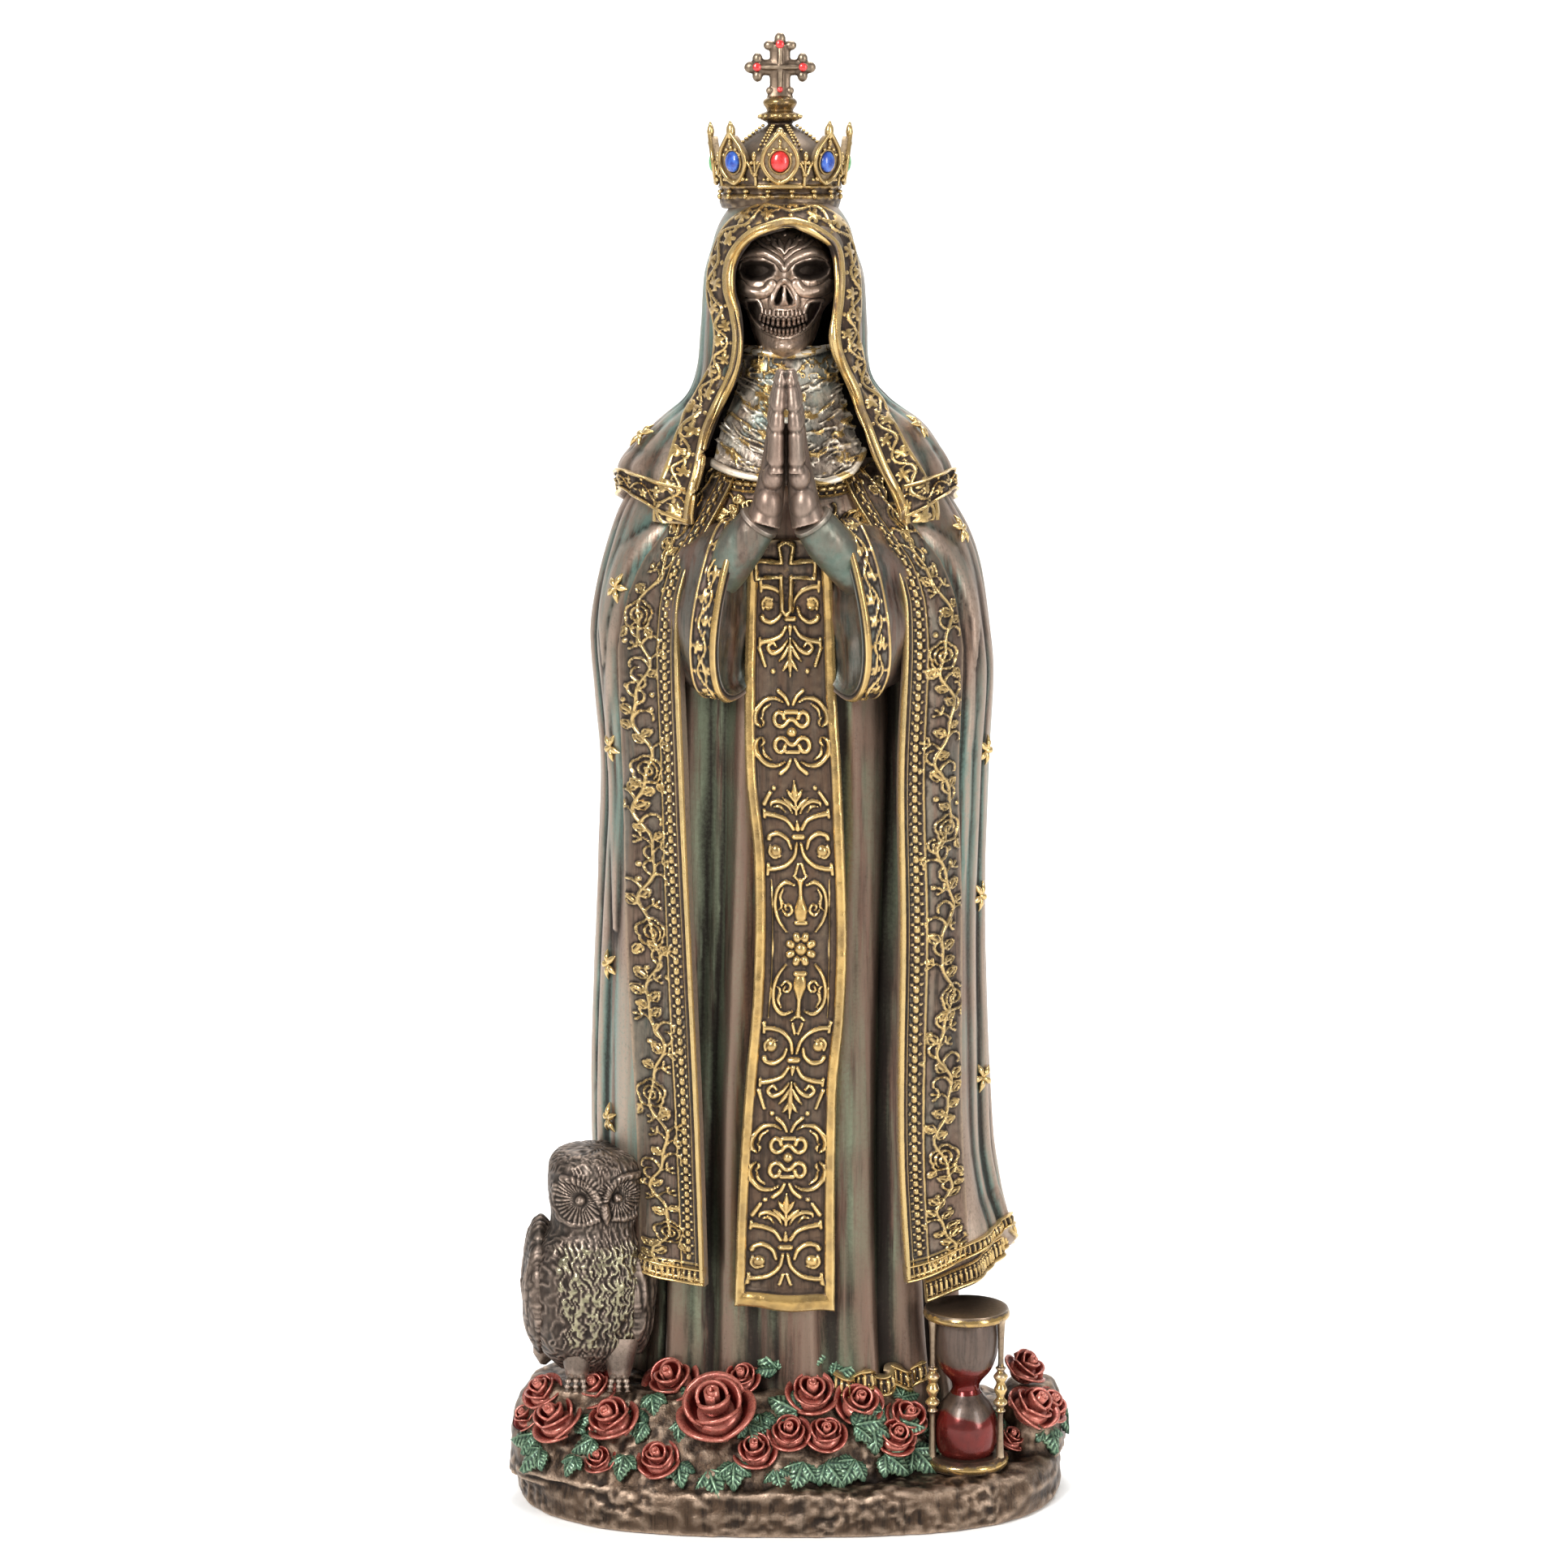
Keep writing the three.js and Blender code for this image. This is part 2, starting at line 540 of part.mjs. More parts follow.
// A place on the ground, from shares of its half width and half depth and a height above it
function spot(x, y, z) {
  return [(x * groundWidth) / 200, (y * groundDepth) / 200, groundHeight + z];
}

// The rock under the owl and the banks of earth under the roses
function mound(place, rows, around) {
  const [x, y, z] = spot(...place);
  return loft(rows.map(([rise, wide, deep], row) => Array.from({ length: around }, (_, j) => {
    const angle = (turn * j) / around;
    const rock = 1 + 0.04 * Math.sin(4 * angle + row);
    return new THREE.Vector3(x + wide * rock * Math.cos(angle), y + deep * rock * Math.sin(angle), z + rise);
  })));
}

function banks() {
  const perch = perchHeight;
  return join([
    mound([-71.5, -36, 0],
      [[-3, 17, 14], [0.4 * perch, 16, 13], [0.8 * perch, 14, 11.5], [perch, 11.5, 10]], 12),
    mound([-22, -46, 0], [[-1, 44, 19.3], [7, 41, 14.6], [13.5, 36, 9.4], [16, 32, 7]], 14),
    mound([88, -12, 0], [[-1, 8.5, 13], [8, 7.5, 11], [14, 4, 6]], 8),
  ]);
}

// The roses, each by its place in hundredths of the half width and half depth, its height and radius
const roses = [
  [-26, -77, 15, 7.4], [-42, -52, 17.5, 5], [-83, -66, 11.4, 4.9], [-63, -71, 12, 4.9], [-69, -57, 16.5, 4],
  [-88, -54, 15.6, 3.9], [-67, -80, 4.4, 2.9], [-46, -85, 5.4, 3.9], [-12, -84, 7, 3.9], [8, -64, 16.5, 4.7],
  [25, -64, 14.4, 4.4], [0, -78, 10, 3.9], [13, -76, 9.5, 3.9], [42, -59, 10.8, 4.1], [38, -69, 7.9, 3.9],
  [-17, -58, 19, 3.4], [86, -10, 15.5, 3.8], [88, -25, 9.8, 5.1], [97, -4, 6.5, 3.6], [-94, -50, 9.6, 3],
];

function rose([x, y, z, radius]) {
  const rows = [[0.5, -0.62], [1, 0.19], [0.62, 0.06], [0.5, 0.62]];
  const petals = [3, 3, 3, 2];
  const outline = rows.map(([reach, rise], row) => Array.from({ length: 6 }, (_, j) => {
    const angle = (turn * j) / 6;
    const petal = 1 + 0.1 * Math.cos(petals[row] * angle + row);
    const far = radius * reach * petal;
    return new THREE.Vector3(far * Math.cos(angle), far * Math.sin(angle), radius * rise * roseDepth);
  }));
  const flower = loft(outline);
  // Its face leans out from the ground, to the front and upwards
  const lean = 55;
  const heading = (Math.atan2(y - 40, 1.2 * x) * 180) / Math.PI;
  return flower.rotate([0, lean, heading]).translate(spot(x, y, z));
}

// The leaves between them
function leaves() {
  const places = [
    [8, -60, 22, 90], [-3, -59, 18.6, 150], [16, -57, 18.8, 40], [39, -51, 13.6, 60], [-88, -58, 5, 200],
    [-80, -70, 3.4, 260], [-65, -84, 0.8, 250], [-48, -67, 13, 130], [-51, -74, 9.6, 190],
    [-35, -87, 1.8, 250],
    [-23, -86, 3.2, 300], [4, -84, 3, 200], [21, -75, 6.2, 20], [25, -77, 3.6, 310], [48, -58, 2.4, 340],
    [85, -40, 4, 300],
  ];
  return places.map(([x, y, z, heading]) => {
    const leaf = new THREE.OctahedronGeometry(1).scale(4.6, 2.1, 0.9).translate(2, 0, 0);
    leaf.rotateY(-0.35);
    leaf.rotateX(0.9);
    leaf.rotateZ((heading * Math.PI) / 180);
    return solid(leaf.translate(...spot(x, y, z - 0.6)));
  });
}

// The crown stands on the flat top of the veil
function crown() {
  const seat = figureHeight + gap;
  const profile = [[0, 0], [crownRadius, 0], [crownRadius + 0.9, 1], [crownRadius + 0.3, 2],
    [crownRadius + 1.8, 5.4], [crownRadius, 5.4], [8.4, 11], [2.4, 14.8], [3.9, 16.8], [3.9, 18], [3, 19.8],
    [0, 21.6]];
  const shell = new THREE.LatheGeometry(profile.map(([r, z]) => new THREE.Vector2(r, z)), 2 * crownPoints);
  const parts = [solid(shell.rotateX(Math.PI / 2))];
  for (let i = 0; i < crownPoints; i += 1) {
    const angle = (360 * i) / crownPoints - 90;
    const leaf = new THREE.Shape();
    leaf.moveTo(-3.6, 0);
    leaf.quadraticCurveTo(-4.2, 5, -1.7, 7.4);
    leaf.quadraticCurveTo(-0.7, 8.4, 0, 11);
    leaf.quadraticCurveTo(0.7, 8.4, 1.7, 7.4);
    leaf.quadraticCurveTo(4.2, 5, 3.6, 0);
    const plate = new THREE.ExtrudeGeometry(leaf, { depth: 1.5, bevelEnabled: false, curveSegments: 2 });
    plate.rotateX(Math.PI / 2 + 0.14).translate(0, -crownRadius - 0.4, 4.4);
    const gem = ball([0, -crownRadius - 2.7, 8.2], [1.9, 1.1, 2.1], [0, 0, 0], 5, 3);
    parts.push(join([solid(plate), gem]).rotate([0, 0, angle + 90]));
    const fleur = bead([0, -crownRadius - 0.6, 7], [1.6, 1.4, 3.4]);
    parts.push(fleur.rotate([0, 0, angle + 90 + 180 / crownPoints]));
  }
  // The budded cross on top
  const [crossFoot, crossTop, crossDepth, beam] = [20.6, crownHeight - 1.2, 1.6, 1.7];
  const armZ = crossFoot + (crownHeight - crossFoot) * 0.44;
  const upright = new THREE.BoxGeometry(beam, crossDepth, crossTop - crossFoot);
  upright.translate(0, 0, (crossFoot + crossTop) / 2);
  const arms = new THREE.BoxGeometry(10.5, crossDepth, beam).translate(0, 0, armZ);
  parts.push(solid(upright), solid(arms));
  const buds = [[-5, armZ], [5, armZ], [0, crownHeight - 2.6]];
  for (const [x, z] of buds) {
    const [outX, outZ] = [Math.sign(x) * 1.3, x ? 0 : 1.5];
    parts.push(bead([x + outX * 0.4, 0, z + outZ], [1.4, 1.1, 1.4]));
    for (const side of [-1.4, 1.4]) {
      const place = [x - outX * 0.4 + (x ? 0 : side), 0, z - outZ * 0.3 + (x ? side : 0)];
      parts.push(bead(place, [1.3, 1.1, 1.3]));
    }
  }
  return join(parts).translate([crownPlace[0] * unit, crownPlace[1] * unit, seat]);
}

// The owl, in 49ths of its own height
const owlPlace = [-71.5, -40];
const owlRows = [[3, 7.5, 7], [7, 10.5, 9.8], [13, 12, 11.6], [22, 12.2, 12], [29, 10.8, 10.6], [34, 9, 9.2],
  [38, 9.2, 9.6], [43, 9.5, 10], [46.5, 8.4, 8.4], [48.6, 5.4, 5.4]];
const owlLean = through([0, 0], [22, 0], [37, 1.8], [48, 1.8]);

function owlBody(rows, more) {
  return loft(rows.map(([z, half, deep]) => Array.from({ length: 12 }, (_, j) => {
    const angle = (turn * j) / 12;
    const x = owlLean(z) + (half + more) * Math.cos(angle);
    return new THREE.Vector3(x, (deep + more) * Math.sin(angle), z);
  })));
}

function placeOwl(shape) {
  const [x, y, z] = spot(...owlPlace, perchHeight);
  return scaled(shape, owlHeight / 49).translate([x, y, z + gap]);
}

function owl() {
  const headX = owlLean(owlHeight);
  const parts = [owlBody(owlRows, 0)];
  for (const side of [-1, 1]) {
    parts.push(
      ball([side * 10.4, 1.5, 20], [3, 8, 13], [0.12, side * 0.1, 0], 6, 5),
      ball([side * 6.4 + headX, -3.4, 45], [2.2, 4, 3.2], [0, 0, 0], 6, 4),
      ball([side * 4.6 + headX, -8.2, 41], [4.4, 2.2, 4.4], [0, 0, 0], 8, 4),
      bead([side * 4.6 + headX, -10, 41], [1.4, 1.2, 1.4]),
      ball([side * 4.6, -6, 3], [3, 4.6, 3], [0, 0, 0], 6, 4),
    );
  }
  parts.push(bead([headX, -10.2, 37.6], [1.2, 1.6, 2.4]));
  parts.push(ball([-8.8, 4, 7.6], [3.2, 3.2, 8.4], [0.12, 0.1, 0], 6, 5));
  const floor = new THREE.BoxGeometry(60, 60, 20).translate(0, 0, -10);
  return placeOwl(join(parts).subtract(solid(floor)));
}

// The room left for the owl in the casting, round enough for its wings, its face and its feet
function owlPocket() {
  const rows = [[-gap, 13.8, 12.6], [14, 14.4, 13.8], [30, 14, 13.2], [37, 10.6, 11.2], [46, 10.6, 11],
    [50, 7.4, 7]];
  return placeOwl(owlBody(rows, 2 * gap));
}

// The hourglass: two bulbs between discs, held by three ringed balusters
const hourglassPlace = [63.2, -55];

function lathe(points, sides) {
  const profile = points.map(([r, z]) => new THREE.Vector2(r, z));
  return solid(new THREE.LatheGeometry(profile, sides).rotateX(Math.PI / 2));
}

function placeHourglass(shape) {
  const [x, y, z] = spot(...hourglassPlace, gap);
  return shape.translate([x, y, z]);
}

function hourglass() {
  const [tall, wide] = [hourglassHeight, hourglassRadius];
  const disc = 2.4;
  const bulb = wide * 0.66;
  const neck = wide * 0.3;
  const middle = tall / 2;
  const foot = [[0, 0], [wide - 0.7, 0], [wide, disc * 0.5], [wide - 0.9, disc]];
  const half = [[bulb * 0.8, disc + 0.3], [bulb, disc + 4.5], [bulb * 0.9, middle - 5.5]];
  const mirrored = [...foot, ...half].reverse().map(([r, z]) => [r, tall - z]);
  const parts = [lathe([...foot, ...half, [neck, middle], ...mirrored], 12)];
  for (const heading of [200, 340, 90]) {
    const angle = (heading * Math.PI) / 180;
    const out = wide - 1.5;
    const rings = [[disc, 0.8], [middle - 4, 0.8], [middle - 2.6, 1.5], [middle, 0.9], [middle + 2.6, 1.5],
      [middle + 4, 0.8], [tall - disc, 0.8]];
    const outline = [[0, disc / 2], ...rings.map(([z, r]) => [r, z]), [0, tall - disc / 2]];
    parts.push(lathe(outline, 6).translate([out * Math.cos(angle), out * Math.sin(angle), 0]));
  }
  return placeHourglass(join(parts));
}

// The room left for the hourglass in the casting
function hourglassPocket() {
  const reach = hourglassRadius + 2 * gap;
  const top = hourglassHeight + gap;
  return placeHourglass(lathe([[0, -gap], [reach, -gap], [reach, top], [0, top]], 16));
}

// The casting, with room left for the two pieces glued on beside the mantle
function figure() {
  const cloth = join([
    mantle(), mantleBorders(), tunic(), panel(), veil(), skull(), bib(), ...stars(),
    sleeve(-1), sleeve(1), arm(-1), arm(1),
  ]);
  const bed = join([ground(), banks(), ...roses.map(rose), ...leaves()]);
  const pockets = join([owlPocket(), hourglassPocket()]);
  const whole = join([scaled(cloth, unit), bed]).subtract(pockets);
  const under = new THREE.BoxGeometry(400, 400, 40).translate(0, 0, -20);
  const trimmed = whole.subtract(solid(under));
  return trimmed.decompose().sort((a, b) => b.volume() - a.volume())[0];
}

function named(name, shape, material) {
  const { vertProperties, triVerts } = shape.getMesh();
  const geometry = new THREE.BufferGeometry();
  geometry.setAttribute('position', new THREE.BufferAttribute(vertProperties, 3));
  geometry.setIndex(new THREE.BufferAttribute(triVerts, 1));
  geometry.computeVertexNormals();
  const mesh = new THREE.Mesh(geometry, material);
  mesh.name = name;
  return mesh;
}

const group = new THREE.Group();
group.add(
  named('figure', figure(), bronze),
  named('crown', crown(), gold),
  named('owl', owl(), feather),
  named('hourglass', hourglass(), glassRed),
);
export default group;
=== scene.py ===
# %% [markdown]
# # A santa muerte statuette
# The real thing is one casting in bronze powder and resin, about 300 mm tall. It is painted dark,
# wiped so that the paint stays in the hollows, brushed with copper and verdigris on the high cloth,
# and gilded on the embroidery. This lesson rebuilds it around the plain solids of the frame: each
# step first says what a piece is, and then bends grids and tubes into it.

# %% Load the frame and keep its box
import math
import bpy
import bmesh
import numpy as np
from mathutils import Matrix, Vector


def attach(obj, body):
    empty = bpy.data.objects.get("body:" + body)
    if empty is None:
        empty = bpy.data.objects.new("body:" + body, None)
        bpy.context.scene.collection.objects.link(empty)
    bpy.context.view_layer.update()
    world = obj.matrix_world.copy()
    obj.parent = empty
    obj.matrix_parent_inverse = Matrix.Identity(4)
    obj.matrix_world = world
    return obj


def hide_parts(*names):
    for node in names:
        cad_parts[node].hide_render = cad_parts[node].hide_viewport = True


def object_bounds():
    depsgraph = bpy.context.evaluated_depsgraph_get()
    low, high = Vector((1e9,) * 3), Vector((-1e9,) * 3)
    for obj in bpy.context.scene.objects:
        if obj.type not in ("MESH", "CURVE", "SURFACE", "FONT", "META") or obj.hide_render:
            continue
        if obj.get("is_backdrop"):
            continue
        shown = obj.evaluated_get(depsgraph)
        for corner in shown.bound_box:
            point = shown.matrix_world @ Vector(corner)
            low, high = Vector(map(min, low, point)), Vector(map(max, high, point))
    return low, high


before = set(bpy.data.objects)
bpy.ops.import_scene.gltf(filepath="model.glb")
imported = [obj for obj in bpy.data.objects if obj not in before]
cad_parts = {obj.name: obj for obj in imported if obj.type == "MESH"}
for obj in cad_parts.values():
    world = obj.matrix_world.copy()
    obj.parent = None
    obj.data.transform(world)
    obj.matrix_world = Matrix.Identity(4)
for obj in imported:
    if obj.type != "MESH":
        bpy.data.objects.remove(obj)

cad_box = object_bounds()
MM = 0.001
TURN = 2 * math.pi
print("nodes:", sorted(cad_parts), "box:", [[round(v, 4) for v in corner] for corner in cad_box])

# %% [markdown]
# ## Camera, floor and light
# The photograph is taken from a little above the middle of the figure, with a long lens, in front of
# white. A pale floor with a white world and two large soft lamps gives the same calm light, and the
# metal paint needs bright shapes around it to reflect.

# %% Camera
lens = bpy.data.cameras.new("camera")
lens.sensor_width = 36
lens.lens = 85.9
lens.clip_start = 0.01
camera = bpy.data.objects.new("camera", lens)
camera.location = (-0.001, -0.7606, 0.2697)
camera.rotation_euler = (math.radians(90 - 9.1), 0, 0)
bpy.context.scene.collection.objects.link(camera)
bpy.context.scene.camera = camera

# %% Floor, which curves up behind the figure
FLOOR_FLAT, FLOOR_CURVE = 1.2, 0.8
floor_shape = bmesh.new()
bmesh.ops.create_grid(floor_shape, x_segments=2, y_segments=80, size=4)
for vert in floor_shape.verts:
    rise = max(vert.co.y - FLOOR_FLAT, 0) / FLOOR_CURVE
    bent = min(rise, TURN / 4)
    vert.co.y = min(vert.co.y, FLOOR_FLAT) + FLOOR_CURVE * math.sin(bent)
    vert.co.z = FLOOR_CURVE * (1 - math.cos(bent)) + max(rise - TURN / 4, 0)
floor_mesh = bpy.data.meshes.new("floor")
floor_shape.to_mesh(floor_mesh)
floor_shape.free()
floor_mesh.polygons.foreach_set("use_smooth", np.ones(len(floor_mesh.polygons), bool))
floor = bpy.data.objects.new("floor", floor_mesh)
bpy.context.scene.collection.objects.link(floor)
pale = bpy.data.materials.new("pale_floor")
pale.use_nodes = True
pale.node_tree.nodes["Principled BSDF"].inputs["Base Color"].default_value = (0.92, 0.92, 0.91, 1)
pale.node_tree.nodes["Principled BSDF"].inputs["Roughness"].default_value = 0.9
floor_mesh.materials.append(pale)
floor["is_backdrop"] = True

# %% Soft lamps and a white world
world = bpy.data.worlds.new("studio")
bpy.context.scene.world = world
world.use_nodes = True
world.node_tree.nodes["Background"].inputs["Color"].default_value = (1, 1, 1, 1)
world.node_tree.nodes["Background"].inputs["Strength"].default_value = 0.5
bpy.context.scene.view_settings.view_transform = "Standard"


def lamp(name, place, aim, size, power):
    light = bpy.data.lights.new(name, "AREA")
    light.shape = "RECTANGLE"
    light.size, light.size_y = size
    light.energy = power
    holder = bpy.data.objects.new(name, light)
    toward = np.array(aim) - np.array(place)
    flat = math.hypot(toward[0], toward[1])
    holder.location = place
    holder.rotation_euler = (math.atan2(flat, -toward[2]), 0, math.atan2(toward[1], toward[0]) - TURN / 4)
    bpy.context.scene.collection.objects.link(holder)


lamp("key", (-0.55, -0.85, 0.75), (0, 0, 0.16), (0.25, 0.55), 15)
lamp("fill", (0.75, -0.7, 0.4), (0, 0, 0.14), (0.25, 0.6), 6)
lamp("top", (0.1, 0.3, 1.0), (0, 0, 0.2), (0.5, 0.4), 6)
lamp("backdrop", (0, 0.5, 1.7), (0, 1.9, 0.9), (1.6, 0.4), 34)
print("stage set")

# %% [markdown]
# ## Two ways to make a form
# Everything soft on this figure is a surface that can be described by a few measured curves: how wide
# the mantle is at each height, how far its front stands out. So a flat grid is made with Blender's own
# operator, and then each of its points is moved to its place on the form. A limb, a pillar or a toe is
# the same grid rolled into a tube.

# %% Short names for the steps that come back in every form
def unit(values):
    return np.clip(values, 0, 1)


def stacked(*columns):
    return np.stack(columns, axis=-1)


def grid(rows, columns):
    return np.meshgrid(rows, columns, indexing="ij")


def all_round(count):
    return np.linspace(0, TURN, count, endpoint=False)


# The height of a round moulding: full in its middle, and nothing beyond its half width
def rounded(away, half):
    return np.clip(1 - (away / half) ** 2, 0, None) ** 0.5


def resampled(values, count):
    return np.interp(np.linspace(0, 1, count), np.linspace(0, 1, len(values)), values)


def walked(path):
    return np.concatenate([[0], np.cumsum(np.linalg.norm(np.diff(path, axis=0), axis=1))])


def direction(vector):
    return vector / np.linalg.norm(vector)


# %% A smooth curve through a few measured stations
def through(*stations):
    places, values = np.array(stations, float).T
    last = len(places) - 1
    number = np.arange(last + 1)
    before, after = np.maximum(number - 1, 0), np.minimum(number + 1, last)
    slopes = (values[after] - values[before]) / (places[after] - places[before])

    def curve(place):
        at = np.clip(place, places[0], places[-1])
        i = np.clip(np.searchsorted(places, at) - 1, 0, last - 1)
        run = places[i + 1] - places[i]
        t = (at - places[i]) / run
        rise = t * t * (3 - 2 * t)
        bend = t * (1 - t) * (slopes[i] * (1 - t) - slopes[i + 1] * t) * run
        return values[i] * (1 - rise) + values[i + 1] * rise + bend

    return curve


def smooth(points, count=20):
    points = np.array(points, float)
    steps = np.arange(len(points))
    at = np.linspace(0, len(points) - 1, count)
    return stacked(*(through(*zip(steps, column))(at) for column in points.T))


# %% Numbers read from a mesh, and written back
def read(items, name, columns, kind=float):
    values = np.empty(columns * len(items), kind)
    items.foreach_get(name, values)
    return values.reshape(-1, columns)


def mark_points(mesh, name, values):
    mesh.attributes.new(name, "FLOAT", "POINT").data.foreach_set("value", values.astype(np.float32))


# %% A grid bent to a form, where gilt says how much gold each point gets
# A negative gilt paints the point black instead of gold: painted shade.
def sheet(spots, gilt=None):
    rows, columns = spots.shape[0] - 1, spots.shape[1] - 1
    flat = bmesh.new()
    bmesh.ops.create_grid(flat, x_segments=columns, y_segments=rows, size=1)
    mesh = bpy.data.meshes.new("sheet")
    flat.to_mesh(mesh)
    flat.free()
    places = read(mesh.vertices, "co", 3)
    order = np.lexsort((places[:, 0].round(5), places[:, 1].round(5)))
    places[order] = spots.reshape(-1, 3)
    mesh.vertices.foreach_set("co", places.ravel())
    marks = np.zeros(len(mesh.vertices))
    if gilt is not None:
        marks[order] = gilt.ravel()
    mark_points(mesh, "gilt", marks)
    return mesh


def outward(spots):
    along = np.gradient(spots, axis=1)
    up = np.gradient(spots, axis=0)
    normal = np.cross(along, up)
    return normal / np.maximum(np.linalg.norm(normal, axis=-1, keepdims=True), 1e-9)


def ring(spots, gilt=None):
    closed = np.concatenate([spots, spots[:, :1]], axis=1)
    return sheet(closed, None if gilt is None else np.concatenate([gilt, gilt[:, :1]], axis=1))


# A band laid on the cloth: its front is raised by a relief, and its two edges turn back into the cloth
def laid_band(face, high, gilt, back=1.0):
    out = outward(face)
    raised = face + out * high[..., None]
    edges = np.concatenate([raised, face[:, -1:] - out[:, -1:] * back, face[:, :1] - out[:, :1] * back],
                           axis=1)
    return ring(edges, np.pad(gilt, ((0, 0), (0, 2)), "edge"))


# %% A tube along a path
def tube(path, girth, sides=10, flat=1.0, lay=(0, -1, 0.01), gilt=0.0):
    path = np.array(path, float)
    girth = np.broadcast_to(np.array(girth, float), len(path))
    along = np.gradient(path, axis=0)
    along /= np.linalg.norm(along, axis=1, keepdims=True)
    across = np.cross(along, np.array(lay, float))
    across /= np.linalg.norm(across, axis=1, keepdims=True)
    up = np.cross(across, along)
    angle = all_round(sides)
    spots = (path[:, None] + across[:, None] * np.cos(angle)[None, :, None] * girth[:, None, None]
             + up[:, None] * np.sin(angle)[None, :, None] * (girth * flat)[:, None, None])
    return ring(spots, np.broadcast_to(np.reshape(gilt, (-1, 1)), spots.shape[:2]))


def ball(place, sizes, detail=2, gilt=0.0, tilt=0.0):
    shape = bmesh.new()
    bmesh.ops.create_icosphere(shape, subdivisions=detail, radius=1)
    mesh = bpy.data.meshes.new("ball")
    shape.to_mesh(mesh)
    shape.free()
    x, y, z = (read(mesh.vertices, "co", 3) * np.broadcast_to(np.array(sizes, float), 3)).T
    c, s = math.cos(tilt), math.sin(tilt)
    mesh.vertices.foreach_set("co", (stacked(x * c - y * s, x * s + y * c, z) + np.array(place)).ravel())
    mark_points(mesh, "gilt", np.full(len(mesh.vertices), gilt))
    return mesh


# %% [markdown]
# ## Relief and rough ground
# Embroidery on a casting is raised line by line. Each line is a path with a girth, drawn on the flat
# of the cloth in millimetres, and every point of the grid rises by how near it lies to a line. Rough
# stone comes from a table of seeded random heights, blended smoothly from one cell to the next.

# %% Lines raised on the cloth
def raised(across, along, lines):
    flat_a, flat_b = across.ravel(), along.ravel()
    high = np.zeros(len(flat_a))
    for path, girth, tall in lines:
        path = np.array(path, float)
        girth = np.broadcast_to(np.array(girth, float), len(path))
        low, top = path.min(0) - girth.max(), path.max(0) + girth.max()
        near = np.flatnonzero((flat_a > low[0]) & (flat_a < top[0]) & (flat_b > low[1]) & (flat_b < top[1]))
        if not len(near):
            continue
        spots = stacked(flat_a[near], flat_b[near])
        best = np.zeros(len(near))
        for a, b, girth_a, girth_b in zip(path[:-1], path[1:], girth[:-1], girth[1:]):
            run = b - a
            share = unit(((spots - a) @ run) / max(run @ run, 1e-9))
            away = np.linalg.norm(spots - a - share[:, None] * run, axis=1)
            best = np.maximum(best, 1 - (away / (girth_a + (girth_b - girth_a) * share)) ** 2)
        high[near] = np.maximum(high[near], tall * np.clip(best, 0, None) ** 0.6)
    return high.reshape(across.shape)


def dot(a, b, girth, tall=0.6):
    return [(a, b), (a, b)], girth, tall


# A curl starts at a point, in a heading, and bends more and more as it goes
def curl(start, heading, length, bend, tighten, girth=0.3, tall=0.6, count=18):
    steps = np.linspace(0, 1, count)
    way = math.radians(heading) + length * (bend * steps + 0.5 * tighten * steps ** 2)
    step = length / (count - 1)
    path = np.array(start) + np.cumsum(stacked(np.cos(way), np.sin(way)), axis=0) * step
    return path, girth * (1 - 0.35 * steps), tall


def both_sides(lines):
    return lines + [(np.array(path, float) * [-1, 1], girth, tall) for path, girth, tall in lines]


def moved(lines, aside):
    return [(np.array(path, float) + [aside, 0], girth, tall) for path, girth, tall in lines]


# %% Seeded rough ground, from a table that repeats after a number of cells
CELLS = 24


def lumps(spots, size, seed=1):
    table = np.random.default_rng(seed).random((CELLS, CELLS, CELLS)) * 2 - 1
    at = np.asarray(spots, float) / np.broadcast_to(np.array(size, float), 3)
    cell = np.floor(at).astype(int)
    part = at - cell
    part = part * part * (3 - 2 * part)
    total = np.zeros(at.shape[:-1])
    for corner in np.ndindex(2, 2, 2):
        weight = np.prod(np.where(np.array(corner, bool), part, 1 - part), axis=-1)
        i = (cell + corner) % CELLS
        total += weight * table[i[..., 0], i[..., 1], i[..., 2]]
    return total


# %% A finished piece, with its hollows and its high places marked for the painter
# The surface is eased by a number of rounds, and what then lies above a point says how deep it lay. The
# first two reaches mark small hollows and high places, and a third marks the wide valleys of the cloth.
WELD, DENSE = 0.001, 8000


def marked_by_wear(mesh, rounds, reach):
    count = len(mesh.vertices)
    places = read(mesh.vertices, "co", 3)
    normals = read(mesh.vertices, "normal", 3)
    ends = read(mesh.edges, "vertices", 2, np.int64)
    degree = np.maximum(np.bincount(ends.ravel(), minlength=count), 1)
    marks = {"deep": np.zeros(count), "bright": np.zeros(count), "vale": np.zeros(count)}
    eased = places.copy()
    done = 0
    for number, (steps, full) in enumerate(zip(rounds, reach)):
        for _ in range(steps - done):
            eased = stacked(*(
                (np.bincount(ends[:, 0], eased[ends[:, 1], k], count)
                 + np.bincount(ends[:, 1], eased[ends[:, 0], k], count)) / degree for k in range(3)))
        done = steps
        hollow = np.einsum("ij,ij->i", eased - places, normals) / (full * MM)
        if number < 2:
            marks["deep"] = np.maximum(marks["deep"], unit(hollow))
            marks["bright"] = np.maximum(marks["bright"], unit(-hollow))
        else:
            marks["vale"] = unit(hollow * 0.5 + 0.5)
    for name, values in marks.items():
        mark_points(mesh, name, values)


# A modifier is tried on the piece, and what it draws becomes the piece's mesh
def worked(made, kind, **settings):
    tool = made.modifiers.new(kind.lower(), kind)
    for label, value in settings.items():
        setattr(tool, label, value)
    drawn = bpy.data.meshes.new_from_object(made.evaluated_get(bpy.context.evaluated_depsgraph_get()))
    made.modifiers.clear()
    made.data = drawn
    drawn.name = made.name
    return drawn


